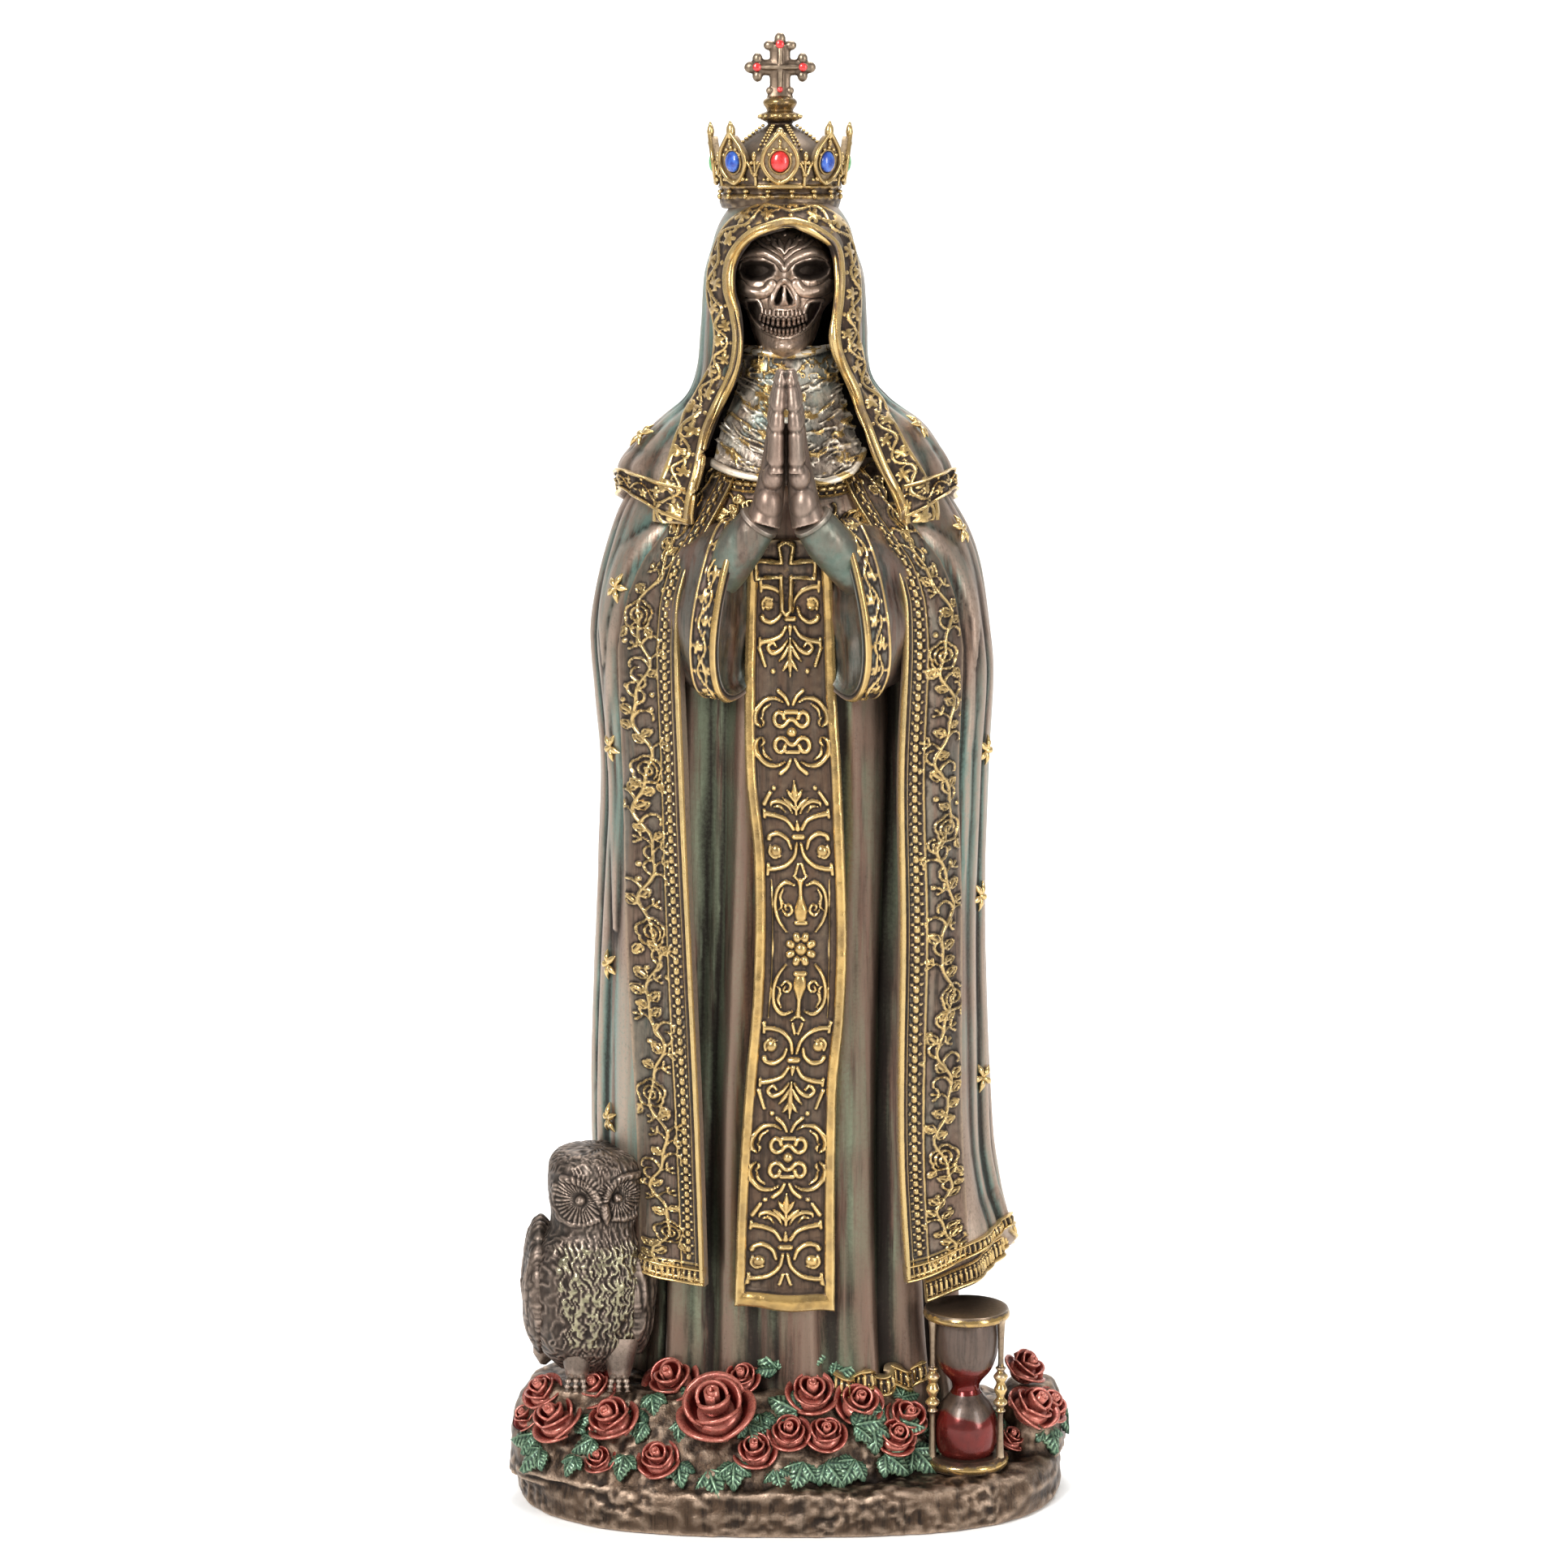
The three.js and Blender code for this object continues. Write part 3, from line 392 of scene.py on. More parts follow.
def piece(name, meshes, material, node, rounds=(3, 12), reach=(0.12, 0.5), sharp=60, remesh=0,
          keep=0.53):
    whole = bmesh.new()
    for mesh in meshes:
        whole.from_mesh(mesh)
        bpy.data.meshes.remove(mesh)
    bmesh.ops.remove_doubles(whole, verts=whole.verts, dist=WELD)
    bmesh.ops.holes_fill(whole, edges=[edge for edge in whole.edges if edge.is_boundary], sides=0)
    bmesh.ops.recalc_face_normals(whole, faces=whole.faces)
    bmesh.ops.scale(whole, vec=(MM, MM, MM), verts=whole.verts)
    bmesh.ops.triangulate(whole, faces=[face for face in whole.faces if len(face.verts) > 4])
    mesh = bpy.data.meshes.new(name)
    whole.to_mesh(mesh)
    whole.free()
    made = bpy.data.objects.new(name, mesh)
    bpy.context.scene.collection.objects.link(made)
    if remesh:
        mesh = worked(made, "REMESH", mode="VOXEL", voxel_size=remesh * MM)
    marked_by_wear(mesh, rounds, reach)
    if len(mesh.vertices) > DENSE:
        mesh = worked(made, "DECIMATE", ratio=keep)
    mesh.polygons.foreach_set("use_smooth", np.ones(len(mesh.polygons), bool))
    mesh.set_sharp_from_angle(angle=math.radians(sharp))
    mesh.materials.clear()
    mesh.materials.append(material)
    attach(made, "root")
    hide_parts(node)
    triangles = sum(len(face.vertices) - 2 for face in mesh.polygons)
    totals[name] = triangles
    print(f"{name}: {triangles} triangles")
    return made


totals = {}

# %% [markdown]
# ## The painter's steps as node groups
# A cast like this is finished in layers: a ground colour, long brush strokes of copper and verdigris,
# a dark wash that stays in the hollows, light metal brushed over the high places, and gold on the
# embroidery. Each layer is a node group, so that every material can use it with its own colours. The
# hollows and the high places come from the marks that were written on each mesh.

# %% Node helpers
def feed(tree, socket, source):
    if isinstance(source, bpy.types.NodeSocket):
        tree.links.new(source, socket)
    else:
        socket.default_value = (*source, 1) if socket.type == "RGBA" else source


def node(tree, kind, wires=None, **settings):
    made = tree.nodes.new(kind)
    for key, value in settings.items():
        setattr(made, key, value)
    for socket, source in (wires or {}).items():
        feed(tree, made.inputs[socket], source)
    return made


def group(name, inputs, outputs):
    tree = bpy.data.node_groups.new(name, "ShaderNodeTree")
    for label, value in inputs.items():
        if isinstance(value, tuple):
            tree.interface.new_socket(label, socket_type="NodeSocketColor").default_value = (*value, 1)
        else:
            tree.interface.new_socket(label, socket_type="NodeSocketFloat").default_value = value
    for label, kind in outputs.items():
        tree.interface.new_socket(label, in_out="OUTPUT", socket_type="NodeSocket" + kind)
    return tree, node(tree, "NodeGroupInput").outputs, node(tree, "NodeGroupOutput").inputs


# A mix node has one set of sockets for each kind of data, so those for colours go by number
MIX_SHARE, MIX_FIRST, MIX_SECOND, MIX_RESULT = 0, 6, 7, 2


def blend(tree, share, first, second):
    mix = node(tree, "ShaderNodeMix", {MIX_SHARE: share, MIX_FIRST: first, MIX_SECOND: second},
               data_type="RGBA")
    return mix.outputs[MIX_RESULT]


def noise(tree, vector, scale, detail=4, rough=0.6):
    wires = {"Vector": vector, "Scale": scale, "Detail": detail, "Roughness": rough}
    return node(tree, "ShaderNodeTexNoise", wires).outputs["Fac"]


def span(tree, value, low, high, out_low=0.0, out_high=1.0):
    wires = {"Value": value, "From Min": low, "From Max": high, "To Min": out_low, "To Max": out_high}
    return node(tree, "ShaderNodeMapRange", wires).outputs["Result"]


def reckon(tree, operation, first, second, clamp=False):
    return node(tree, "ShaderNodeMath", {0: first, 1: second}, operation=operation,
                use_clamp=clamp).outputs[0]


def moved_places(tree, operation, first, second):
    return node(tree, "ShaderNodeVectorMath", {0: first, 1: second}, operation=operation).outputs[0]


def mark(tree, name):
    return node(tree, "ShaderNodeAttribute", attribute_name=name).outputs["Fac"]


def own_places(tree):
    return node(tree, "ShaderNodeTexCoord").outputs["Object"]


# %% Ground, brush strokes, wash and dry brush
bronze, given, result = group("brushed_bronze", {
    "Ground": (0.1, 0.07, 0.055), "Copper": (0.34, 0.23, 0.19), "Patina": (0.2, 0.29, 0.26),
    "Wash": (0.022, 0.016, 0.013), "Highlight": (0.62, 0.48, 0.41), "Streaks": 420.0,
    "Patina Share": 0.6, "Polish": 0.0,
}, {"Color": "Color", "Roughness": "Float"})
where = own_places(bronze)
long = moved_places(bronze, "MULTIPLY", where, (1, 1, 0.055))
aside = moved_places(bronze, "ADD", long, (0.31, 0.17, 0.05))
strokes = noise(bronze, long, given["Streaks"], 6, 0.65)
strokes_aside = noise(bronze, aside, given["Streaks"], 5, 0.6)
patches = noise(bronze, where, 40.0, 2, 0.5)
hair = noise(bronze, long, 1300.0, 3, 0.7)
fine = noise(bronze, where, 1500.0, 3, 0.7)
lifted = reckon(bronze, "SUBTRACT", strokes, span(bronze, mark(bronze, "vale"), 0.3, 0.8, -0.09, 0.09))
lifted = reckon(bronze, "ADD", lifted, span(bronze, hair, 0.3, 0.7, -0.13, 0.13))
coppered = blend(bronze, span(bronze, lifted, 0.42, 0.6), given["Ground"], given["Copper"])
greened = reckon(bronze, "MULTIPLY", span(bronze, strokes_aside, 0.38, 0.54),
                 span(bronze, patches, 0.36, 0.56))
greened = reckon(bronze, "MULTIPLY", greened, span(bronze, mark(bronze, "vale"), 0.1, 0.6, 0.6, 1.3))
greened = reckon(bronze, "MULTIPLY", greened, given["Patina Share"], True)
coloured = blend(bronze, greened, coppered, given["Patina"])
lit = reckon(bronze, "MULTIPLY", mark(bronze, "bright"), span(bronze, fine, 0.3, 0.6, 0.35, 0.95), True)
brushed = blend(bronze, lit, coloured, given["Highlight"])
# A negative gilt is painted shade: it lays the wash colour on fully, inside the hood, in the skull's
# sockets, nose and mouth, and behind the crown's frames.
painted_shade = reckon(bronze, "MULTIPLY", mark(bronze, "gilt"), -1.0, True)
sunk = reckon(bronze, "ADD", mark(bronze, "deep"), span(bronze, fine, 0.3, 0.7, -0.12, 0.2), True)
sunk = reckon(bronze, "MAXIMUM", sunk, painted_shade)
washed_and_shaded = blend(bronze, reckon(bronze, "MULTIPLY", sunk, 0.92), brushed, given["Wash"])
bronze.links.new(washed_and_shaded, result["Color"])
matt = reckon(bronze, "ADD", reckon(bronze, "MULTIPLY", sunk, 0.3), 0.4)
bronze.links.new(reckon(bronze, "SUBTRACT", matt, given["Polish"]), result["Roughness"])

# %% Gold leaf paint on what stands out
gilding, given, result = group("worn_gilding", {
    "Color": (0.1, 0.07, 0.05), "Roughness": 0.5, "Gold": (0.44, 0.275, 0.088),
    "Old Gold": (0.2, 0.12, 0.042),
    "Wear": 0.45, "Shine": (0.8, 0.59, 0.27),
}, {"Color": "Color", "Roughness": "Float"})
where = own_places(gilding)
fine = noise(gilding, where, 700.0, 4, 0.7)
broad = noise(gilding, where, 160.0, 3, 0.6)
worn = reckon(gilding, "MULTIPLY", span(gilding, fine, 0.3, 0.7), given["Wear"])
left = reckon(gilding, "SUBTRACT", mark(gilding, "gilt"), worn)
shut = reckon(gilding, "MULTIPLY", mark(gilding, "deep"), 0.85)
covered = span(gilding, reckon(gilding, "SUBTRACT", left, shut), 0.08, 0.4)
golden = blend(gilding, span(gilding, broad, 0.4, 0.62), given["Gold"], given["Old Gold"])
golden = blend(gilding, reckon(gilding, "MULTIPLY", mark(gilding, "bright"), 0.55), golden, given["Shine"])
gilding.links.new(blend(gilding, covered, given["Color"], golden), result["Color"])
smoother = reckon(gilding, "MULTIPLY", covered, 0.18)
gilding.links.new(reckon(gilding, "SUBTRACT", given["Roughness"], smoother), result["Roughness"])

# %% Cast grain under the paint
grain, given, result = group("cast_grain", {"Scale": 900.0, "Depth": 0.00006, "Long": 0.2},
                             {"Normal": "Vector"})
where = own_places(grain)
speckle = noise(grain, where, given["Scale"], 5, 0.65)
drawn = moved_places(grain, "MULTIPLY", where, (1, 1, 0.05))
hairs = noise(grain, drawn, 1300.0, 4, 0.6)
height = reckon(grain, "ADD", speckle, reckon(grain, "MULTIPLY", hairs, given["Long"]))
bump = node(grain, "ShaderNodeBump", {"Height": height, "Distance": given["Depth"], "Strength": 1.0})
grain.links.new(bump.outputs["Normal"], result["Normal"])
print("node groups:", [tree.name for tree in bpy.data.node_groups])


# %% One finish is the three groups and one shader
def labelled(values):
    return {label.replace("_", " ").title(): value for label, value in values.items()}


def finish(name, metal=0.8, gilt=None, patina_share=0.0, hairs=0.0, scale=900.0, depth=0.00006, coat=0.0,
           **colours):
    material = bpy.data.materials.new(name)
    material.use_nodes = True
    tree = material.node_tree
    shader = tree.nodes["Principled BSDF"]
    shader.inputs["Metallic"].default_value = metal
    shader.inputs["Coat Weight"].default_value = coat
    layer = node(tree, "ShaderNodeGroup", labelled(colours) | {"Patina Share": patina_share},
                 node_tree=bronze)
    if gilt is not None:
        wires = {label: layer.outputs[label] for label in ("Color", "Roughness")} | labelled(gilt)
        layer = node(tree, "ShaderNodeGroup", wires, node_tree=gilding)
    cast = node(tree, "ShaderNodeGroup", {"Scale": scale, "Depth": depth, "Long": hairs}, node_tree=grain)
    tree.links.new(layer.outputs["Color"], shader.inputs["Base Color"])
    tree.links.new(layer.outputs["Roughness"], shader.inputs["Roughness"])
    tree.links.new(cast.outputs["Normal"], shader.inputs["Normal"])
    return material


mantle_paint = finish(
    "mantle_bronze", gilt={"wear": 0.3}, hairs=1.2, patina_share=1.3, ground=(0.055, 0.034, 0.023),
    copper=(0.175, 0.108, 0.074), patina=(0.145, 0.225, 0.188), highlight=(0.46, 0.345, 0.27))
border_paint = finish(
    "border_bronze", gilt={"wear": 0.45, "gold": (0.31, 0.195, 0.066), "old_gold": (0.14, 0.088, 0.033),
                           "shine": (0.68, 0.5, 0.23)},
    hairs=0.5, patina_share=0.5, ground=(0.045, 0.03, 0.022),
    copper=(0.14, 0.09, 0.064), patina=(0.11, 0.165, 0.138), highlight=(0.4, 0.29, 0.2))
tunic_paint = finish(
    "tunic_bronze", hairs=0.9, gilt={}, ground=(0.034, 0.022, 0.016), copper=(0.135, 0.076, 0.054),
    patina=(0.155, 0.175, 0.115), highlight=(0.2, 0.135, 0.1), patina_share=1.1)
sleeve_paint = finish(
    "sleeve_bronze", gilt={"wear": 0.25}, hairs=0.5, patina_share=0.25, ground=(0.045, 0.025, 0.018),
    copper=(0.13, 0.075, 0.056), highlight=(0.36, 0.26, 0.21))
embroidery = finish(
    "gilded_embroidery", gilt={"wear": 0.3}, ground=(0.04, 0.024, 0.016), copper=(0.1, 0.06, 0.038),
    patina_share=0.1, highlight=(0.42, 0.3, 0.17), hairs=0.1)
skull_paint = finish(
    "skull_bronze", ground=(0.25, 0.175, 0.125), copper=(0.5, 0.36, 0.27), streaks=150.0,
    highlight=(0.72, 0.57, 0.47), depth=0.00003, polish=0.08)
hand_paint = finish(
    "hand_bronze", ground=(0.09, 0.059, 0.044), copper=(0.185, 0.126, 0.096), patina_share=0.2,
    highlight=(0.54, 0.4, 0.32), hairs=0.1, depth=0.00003)
undersleeve_paint = finish(
    "undersleeve_bronze", ground=(0.06, 0.042, 0.033), copper=(0.13, 0.09, 0.068),
    patina=(0.11, 0.165, 0.135), patina_share=0.95, streaks=150.0, highlight=(0.42, 0.35, 0.29), hairs=0.1)
bib_paint = finish(
    "bib_bronze", gilt={"wear": 0.3}, ground=(0.21, 0.16, 0.125), copper=(0.62, 0.5, 0.39),
    patina=(0.33, 0.44, 0.4), patina_share=0.85, streaks=170.0, highlight=(0.9, 0.8, 0.64), hairs=0.1)
rock_paint = finish(
    "rock_bronze", ground=(0.022, 0.013, 0.008), copper=(0.075, 0.045, 0.027),
    streaks=300.0, highlight=(0.6, 0.44, 0.32), depth=0.0003, scale=620.0)
rose_paint = finish(
    "rose_red", metal=0.45, ground=(0.055, 0.004, 0.003), copper=(0.17, 0.009, 0.006),
    wash=(0.006, 0.002, 0.0015), highlight=(0.56, 0.19, 0.14), depth=0.00002, polish=0.14)
leaf_paint = finish(
    "leaf_green", metal=0.5, ground=(0.004, 0.026, 0.013), copper=(0.01, 0.066, 0.034), patina_share=0.2,
    wash=(0.008, 0.014, 0.009), highlight=(0.25, 0.37, 0.23), depth=0.00002, polish=0.12)
owl_paint = finish(
    "owl_bronze", gilt={"wear": 0.35, "gold": (0.22, 0.198, 0.118), "old_gold": (0.11, 0.096, 0.06),
                        "shine": (0.48, 0.43, 0.29)},
    ground=(0.02, 0.014, 0.011), copper=(0.05, 0.035, 0.027), patina_share=0.05, streaks=200.0,
    highlight=(0.42, 0.32, 0.255))
crown_paint = finish(
    "crown_gold", gilt={"wear": 0.8, "gold": (0.29, 0.185, 0.068)}, ground=(0.035, 0.023, 0.016),
    copper=(0.075, 0.05, 0.034), highlight=(0.7, 0.52, 0.32), depth=0.00003)
glass_paint = finish(
    "hourglass_bronze", metal=0.6, ground=(0.028, 0.018, 0.013), copper=(0.075, 0.048, 0.036),
    streaks=90.0, highlight=(0.6, 0.45, 0.36), depth=0.00003, polish=0.03,
    gilt={"wear": 0.15, "gold": (0.13, 0.007, 0.005), "old_gold": (0.07, 0.005, 0.004),
          "shine": (0.6, 0.2, 0.16)}, coat=0.15)
stand_paint = finish(
    "stand_bronze", gilt={"wear": 1.0}, ground=(0.04, 0.028, 0.02), copper=(0.09, 0.06, 0.042),
    streaks=90.0, highlight=(0.6, 0.45, 0.3), depth=0.00003, polish=0.08)
cross_paint = finish(
    "cross_gold", gilt={"wear": 0.4}, ground=(0.06, 0.042, 0.03), copper=(0.15, 0.105, 0.072),
    streaks=300.0, highlight=(0.82, 0.65, 0.45), depth=0.00002, polish=0.05)


# Cabochons are enamel: a plain colour, clouded a little, under a clear coat
def enamel(name, dark, light):
    material = bpy.data.materials.new(name)
    material.use_nodes = True
    tree = material.node_tree
    shader = tree.nodes["Principled BSDF"]
    where = own_places(tree)
    clouds = span(tree, noise(tree, where, 900.0, 3, 0.6), 0.38, 0.62)
    feed(tree, shader.inputs["Base Color"], blend(tree, clouds, dark, light))
    matt = span(tree, noise(tree, where, 2400.0, 2, 0.5), 0.3, 0.7, 0.2, 0.42)
    feed(tree, shader.inputs["Roughness"], matt)
    shader.inputs["Coat Weight"].default_value = 0.6
    return material


gems = {"gem_red": enamel("gem_red", (0.42, 0.012, 0.012), (0.62, 0.03, 0.028)),
        "gem_blue": enamel("gem_blue", (0.008, 0.035, 0.25), (0.03, 0.12, 0.48)),
        "gem_green": enamel("gem_green", (0.02, 0.2, 0.04), (0.09, 0.38, 0.1))}
print("finishes:", len(bpy.data.materials))

# %% [markdown]
# ## The tunic
# Under the mantle hangs a long tunic that spreads over the ground in soft pleats. Its plan at each
# height is a rounded oval, and the pleats are waves around it that run almost straight down.

# %% The rounded plan that all the cloth follows
FULL = 0.88
AXIS = 3.0


def plan(angle, left, right, front, back, fold=0.0):
    c, s = np.cos(angle), np.sin(angle)
    x = np.sign(c) * np.abs(c) ** FULL * np.where(c < 0, left, right)
    y = np.sign(s) * np.abs(s) ** FULL * np.where(s < 0, front, back)
    far = np.hypot(x, y)
    more = 1 + fold / far
    return x * more, y * more + AXIS


def angle_of(x, left, right):
    share = unit(np.abs(x) / np.where(x < 0, left, right)) ** (1 / FULL)
    return np.where(x < 0, -math.pi + np.arccos(share), -np.arccos(share))


# %% Tunic
tunic_half = through([0, 37], [14, 36.5], [30, 34.5], [49, 33.5], [100, 32], [190, 30], [212, 22])
tunic_front = through(
    [0, 28], [14, 27.5], [30, 25.5], [60, 24.6], [150, 24], [186, 23], [196, 25.4], [206, 25.6], [212, 23])
tunic_back = through([0, 29], [14, 28.5], [49, 26], [190, 22], [212, 14])
pleat_depth = through([4, 1.5], [50, 1.1], [140, 1], [190, 0.5], [212, 0.1])

z, angle = grid(np.linspace(4, 212, 190), -TURN / 4 + np.linspace(-math.pi, math.pi, 230, endpoint=False))
pleats = np.cos(17 * angle + 0.9 * np.sin(z / 45)) + 0.5 * np.cos(9 * angle + z / 60)
narrow = np.clip(np.cos(31 * angle + 1.6 * np.sin(z / 37) + 0.8), -0.2, 1) * 0.45
calm = np.where(np.sin(angle) > 0.5, 0.5, 1)
folds = pleat_depth(z) * calm * (pleats + narrow)
x, y = plan(angle, tunic_half(z), tunic_half(z), tunic_front(z), tunic_back(z), folds)
spots = stacked(x, y, z)
spots += outward(spots) * (0.25 * lumps(spots, (5, 5, 40), 3)
                           + 0.08 * lumps(spots, (1.6, 1.6, 14), 4))[..., None]
piece("tunic", [ring(spots)], tunic_paint, "figure", reach=(0.15, 1.1, 1.1), rounds=(3, 14, 70))

# %% [markdown]
# ## The mantle
# The mantle hangs open over the tunic from neck to hem, and its two front edges carry embroidery. It
# is made as a shell: one grid goes around the outside from edge to edge and comes back on the inside,
# so that the edges have the thickness of cast cloth.

# %% Curves of the mantle
HEM, SHOULDER = 43, 216
mantle_left = through([43, 40.5], [91, 40.7], [132, 39.1], [152, 38.4], [167, 39.6], [180, 40.5], [190, 39],
                      [198, 36.8], [207, 33.2], [216, 27])
mantle_right = through([43, 46.8], [49, 46], [60, 43.9], [80, 41.8], [122, 40.5], [152, 40.9], [172, 41.9],
                       [183, 40.8], [193, 39.2], [200, 37], [207, 33.2], [216, 27])
mantle_front = through([43, 33], [120, 32.5], [180, 32.5], [195, 30], [207, 25], [216, 19])
mantle_back = through([43, 30], [100, 27.5], [180, 25], [200, 23], [216, 17])
edge_left = through([40, 17], [80, 18], [117, 19.5], [153, 20.8], [186, 21.4], [195, 19.5], [201, 16.4],
                    [208, 12.6], [216, 8.5])
edge_right = through([40, 24], [80, 22.4], [122, 22.6], [153, 21.9], [186, 22.6], [195, 20.6], [201, 17],
                     [208, 12.6], [216, 8.5])
hem_swing = through([0, 6.5], [25, 6.5], [37, 10], [46, 13])
fold_depth = through([43, 1.5], [130, 1], [190, 0.7], [216, 0.1])


def mantle_spots(angle, z):
    side = 1 - np.abs(np.cos(angle)) ** 6
    middle = np.where(np.sin(angle) > 0, 1, 1 - np.exp(-(np.cos(angle) / 0.62) ** 4))
    wave = 0.65 * np.cos(11 * angle + z / 55) + 0.35 * np.cos(19 * angle - z / 38)
    outside = unit((np.abs(np.cos(angle)) - 0.86) / 0.1) * (np.sin(angle) < 0)
    drape = 0.7 * np.cos(34 * angle + 1.5 * np.sin(z / 33) + z / 90) * unit(outside + (np.sin(angle) > 0))
    fold = fold_depth(z) * (wave * side * middle + 0.55 * drape)
    x, y = plan(angle, mantle_left(z), mantle_right(z), mantle_front(z), mantle_back(z), fold)
    before = unit((AXIS - y) / 9)
    swing = hem_swing(np.abs(x)) * before + 6 * (1 - before) * unit(1 - (y - AXIS) / 20)
    return stacked(x, y, z + swing * np.clip(1 - (z - HEM) / 30, 0, None))


def edge_angles(z):
    start = angle_of(edge_right(z), mantle_left(z), mantle_right(z))
    stop = TURN + angle_of(-edge_left(z), mantle_left(z), mantle_right(z))
    return start, stop


# %% Mantle
levels = np.linspace(HEM, SHOULDER, 200)[:, None]
start, stop = edge_angles(levels)
share = np.linspace(0, 1, 210)[None, :]
outer = mantle_spots(start + (stop - start) * share, levels + 0 * share)
creases = lumps(outer, (7, 7, 30), 11) * 0.3 + lumps(outer, (2, 2, 16), 12) * 0.08
beyond = np.abs(outer[..., 0]) - np.where(outer[..., 0] < 0, edge_left(outer[..., 2]),
                                          edge_right(outer[..., 2]))
taper = np.interp(np.arange(24), [0, 9, 23], [0.8, 3.0, 0.5])
elbows = both_sides([
    (smooth([(-21, 203), (-28, 200), (-34, 193), (-37, 184), (-37, 174)], 24), taper, 0.85),
    (smooth([(-25, 197), (-31, 191), (-34.6, 180), (-36, 166), (-36, 152)], 24), taper, 0.85),
    (smooth([(-29, 190), (-33, 178), (-34.6, 160), (-35, 138), (-35, 120)], 24), taper, 0.8)])
creases += raised(outer[..., 0], outer[..., 2], elbows) ** 2 * unit((-2 - outer[..., 1]) / 8)
border_wide = np.interp(outer[..., 2], [178, 204], [12.8, 8.6])
creases *= np.where(outer[..., 1] < AXIS, unit((beyond - border_wide) / 2), 1)
outer = outer + outward(outer) * creases[..., None]
inside = outer[:, ::-6] - outward(outer)[:, ::-6] * 2.0
piece("mantle", [ring(np.concatenate([outer, inside], axis=1))], mantle_paint, "figure",
      reach=(0.1, 0.5, 0.9), rounds=(3, 14, 70))

# %% [markdown]
# ## Ornament on the mantle's borders
# Each front border has a smooth gold rim, a row of beads like coffee beans, a thin line, and then a
# vine with roses, leaves and curls. It is drawn flat, with the distance from the edge across and the
# height along, and raised from a fine grid that lies on the mantle.

# %% Small motifs
def rose_motif(a, b, size):
    turns = np.linspace(0.4, 3.3 * math.pi, 34)
    far = size * (0.14 + 0.62 * turns / turns[-1])
    lines = [(stacked(a + far * np.cos(turns), b + far * np.sin(turns)), 0.24, 0.75)]
    for i in range(5):
        way = i * TURN / 5 + 0.3
        arc = way + np.linspace(-0.62, 0.62, 9)
        bulge = size * (0.86 + 0.2 * np.cos((arc - way) * 2.2))
        lines.append((stacked(a + bulge * np.cos(arc), b + bulge * np.sin(arc)), 0.27, 0.65))
    return lines


def leaf_motif(a, b, heading, size):
    way = math.radians(heading)
    turn = np.array([[math.cos(way), math.sin(way)], [-math.sin(way), math.cos(way)]])
    rim = [(0, 0), (0.5, 0.62), (1.2, 0.7), (2.1, 0), (1.2, -0.7), (0.5, -0.62), (0, 0)]
    shapes = [(smooth(rim, 19), 0.23, 0.6), (np.array([(0.4, 0), (1.5, 0)]), 0.55, 0.5)]
    return [(path * size @ turn + (a, b), girth, tall) for path, girth, tall in shapes]


def sprig_motif(a, b, heading, size=1.0):
    lines = []
    for turn in (-55, 0, 55):
        way = math.radians(heading + turn)
        tip = (a + 1.5 * size * math.cos(way), b + 1.5 * size * math.sin(way))
        lines.append(([(a, b), tip], [0.18, 0.34], 0.6))
    return lines


# A vine climbs along the border, with roses and with leaves, curls and sprigs on both its sides
def vine(length, roses, middle=8.4, swing=1.5, seed=5):
    pick = np.random.default_rng(seed)
    along = np.arange(0, length, 0.8)
    stem = middle + swing * np.sin(along / 3.1) + 0.5 * np.sin(along / 1.37 + seed)
    lines = [(stacked(stem, along), 0.36, 0.65)]
    for at in roses:
        lines += rose_motif(np.interp(at, along, stem), at, 2.7)
        lines += leaf_motif(np.interp(at, along, stem) + 2.1, at - 2.6, -60, 1.1)
        lines += leaf_motif(np.interp(at, along, stem) - 1.9, at - 2.6, 235, 1.0)
    for number, at in enumerate(np.arange(1.6, length - 1.5, 1.5)):
        if min([abs(at - rose) for rose in roses] + [99]) < 3.4:
            continue
        side = -1 if number % 2 else 1
        root = np.interp(at, along, stem)
        kind = pick.integers(0, 5)
        heading = 90 - side * pick.uniform(42, 78)
        if kind < 2:
            lines += leaf_motif(root + side * 0.4, at, heading, pick.uniform(0.95, 1.35))
        elif kind == 2:
            lines.append(curl((root, at), 90 - side * 20, 5.8, -side * 0.25, -side * 0.62, 0.36))
        elif kind == 3:
            lines.append(curl((root, at), 90 - side * 30, 2.2, -side * 0.2, -side * 0.2, 0.27))
            lines += sprig_motif(root + side * 1.8, at + 1.2, heading, 0.95)
        else:
            lines.append(curl((root, at), 90 - side * 70, 4.2, side * 0.3, side * 0.75, 0.34))
            lines.append(dot(root + side * 2.6, at - 0.9, 0.6))
    return lines


# On the narrow bands the vine is a plain wave, with a filled leaf of five lobes in each bend
def leafy_wave(length, middle=2.6, swing=1.05, pitch=5.2, seed=3):
    pick = np.random.default_rng(seed)
    along = np.arange(0, length, 0.45)
    lines = [(stacked(middle + swing * np.sin(along * math.pi / pitch), along), 0.27, 0.62)]
    side = 1
    for at in np.arange(pitch / 2, length, pitch):
        a, b = middle - side * swing * 0.75, at + pick.uniform(-0.3, 0.3)
        lines.append(dot(a, b, 0.72, 0.42))
        for lobe in range(5):
            way = TURN * lobe / 5 + pick.uniform(-0.3, 0.3)
            tip = (a + 0.95 * math.cos(way), b + 0.95 * math.sin(way))
            lines.append(([(a, b), tip], [0.45, 0.42], 0.5))
        lines.append(dot(middle + side * swing * 1.75, at, 0.42, 0.45))
        lines.append(curl((a + side * 0.3, at + 1.2), 90 + side * 20, 2.0, -side * 0.4, -side * 0.9, 0.22,
                          0.5, 9))
        side = -side
    return lines


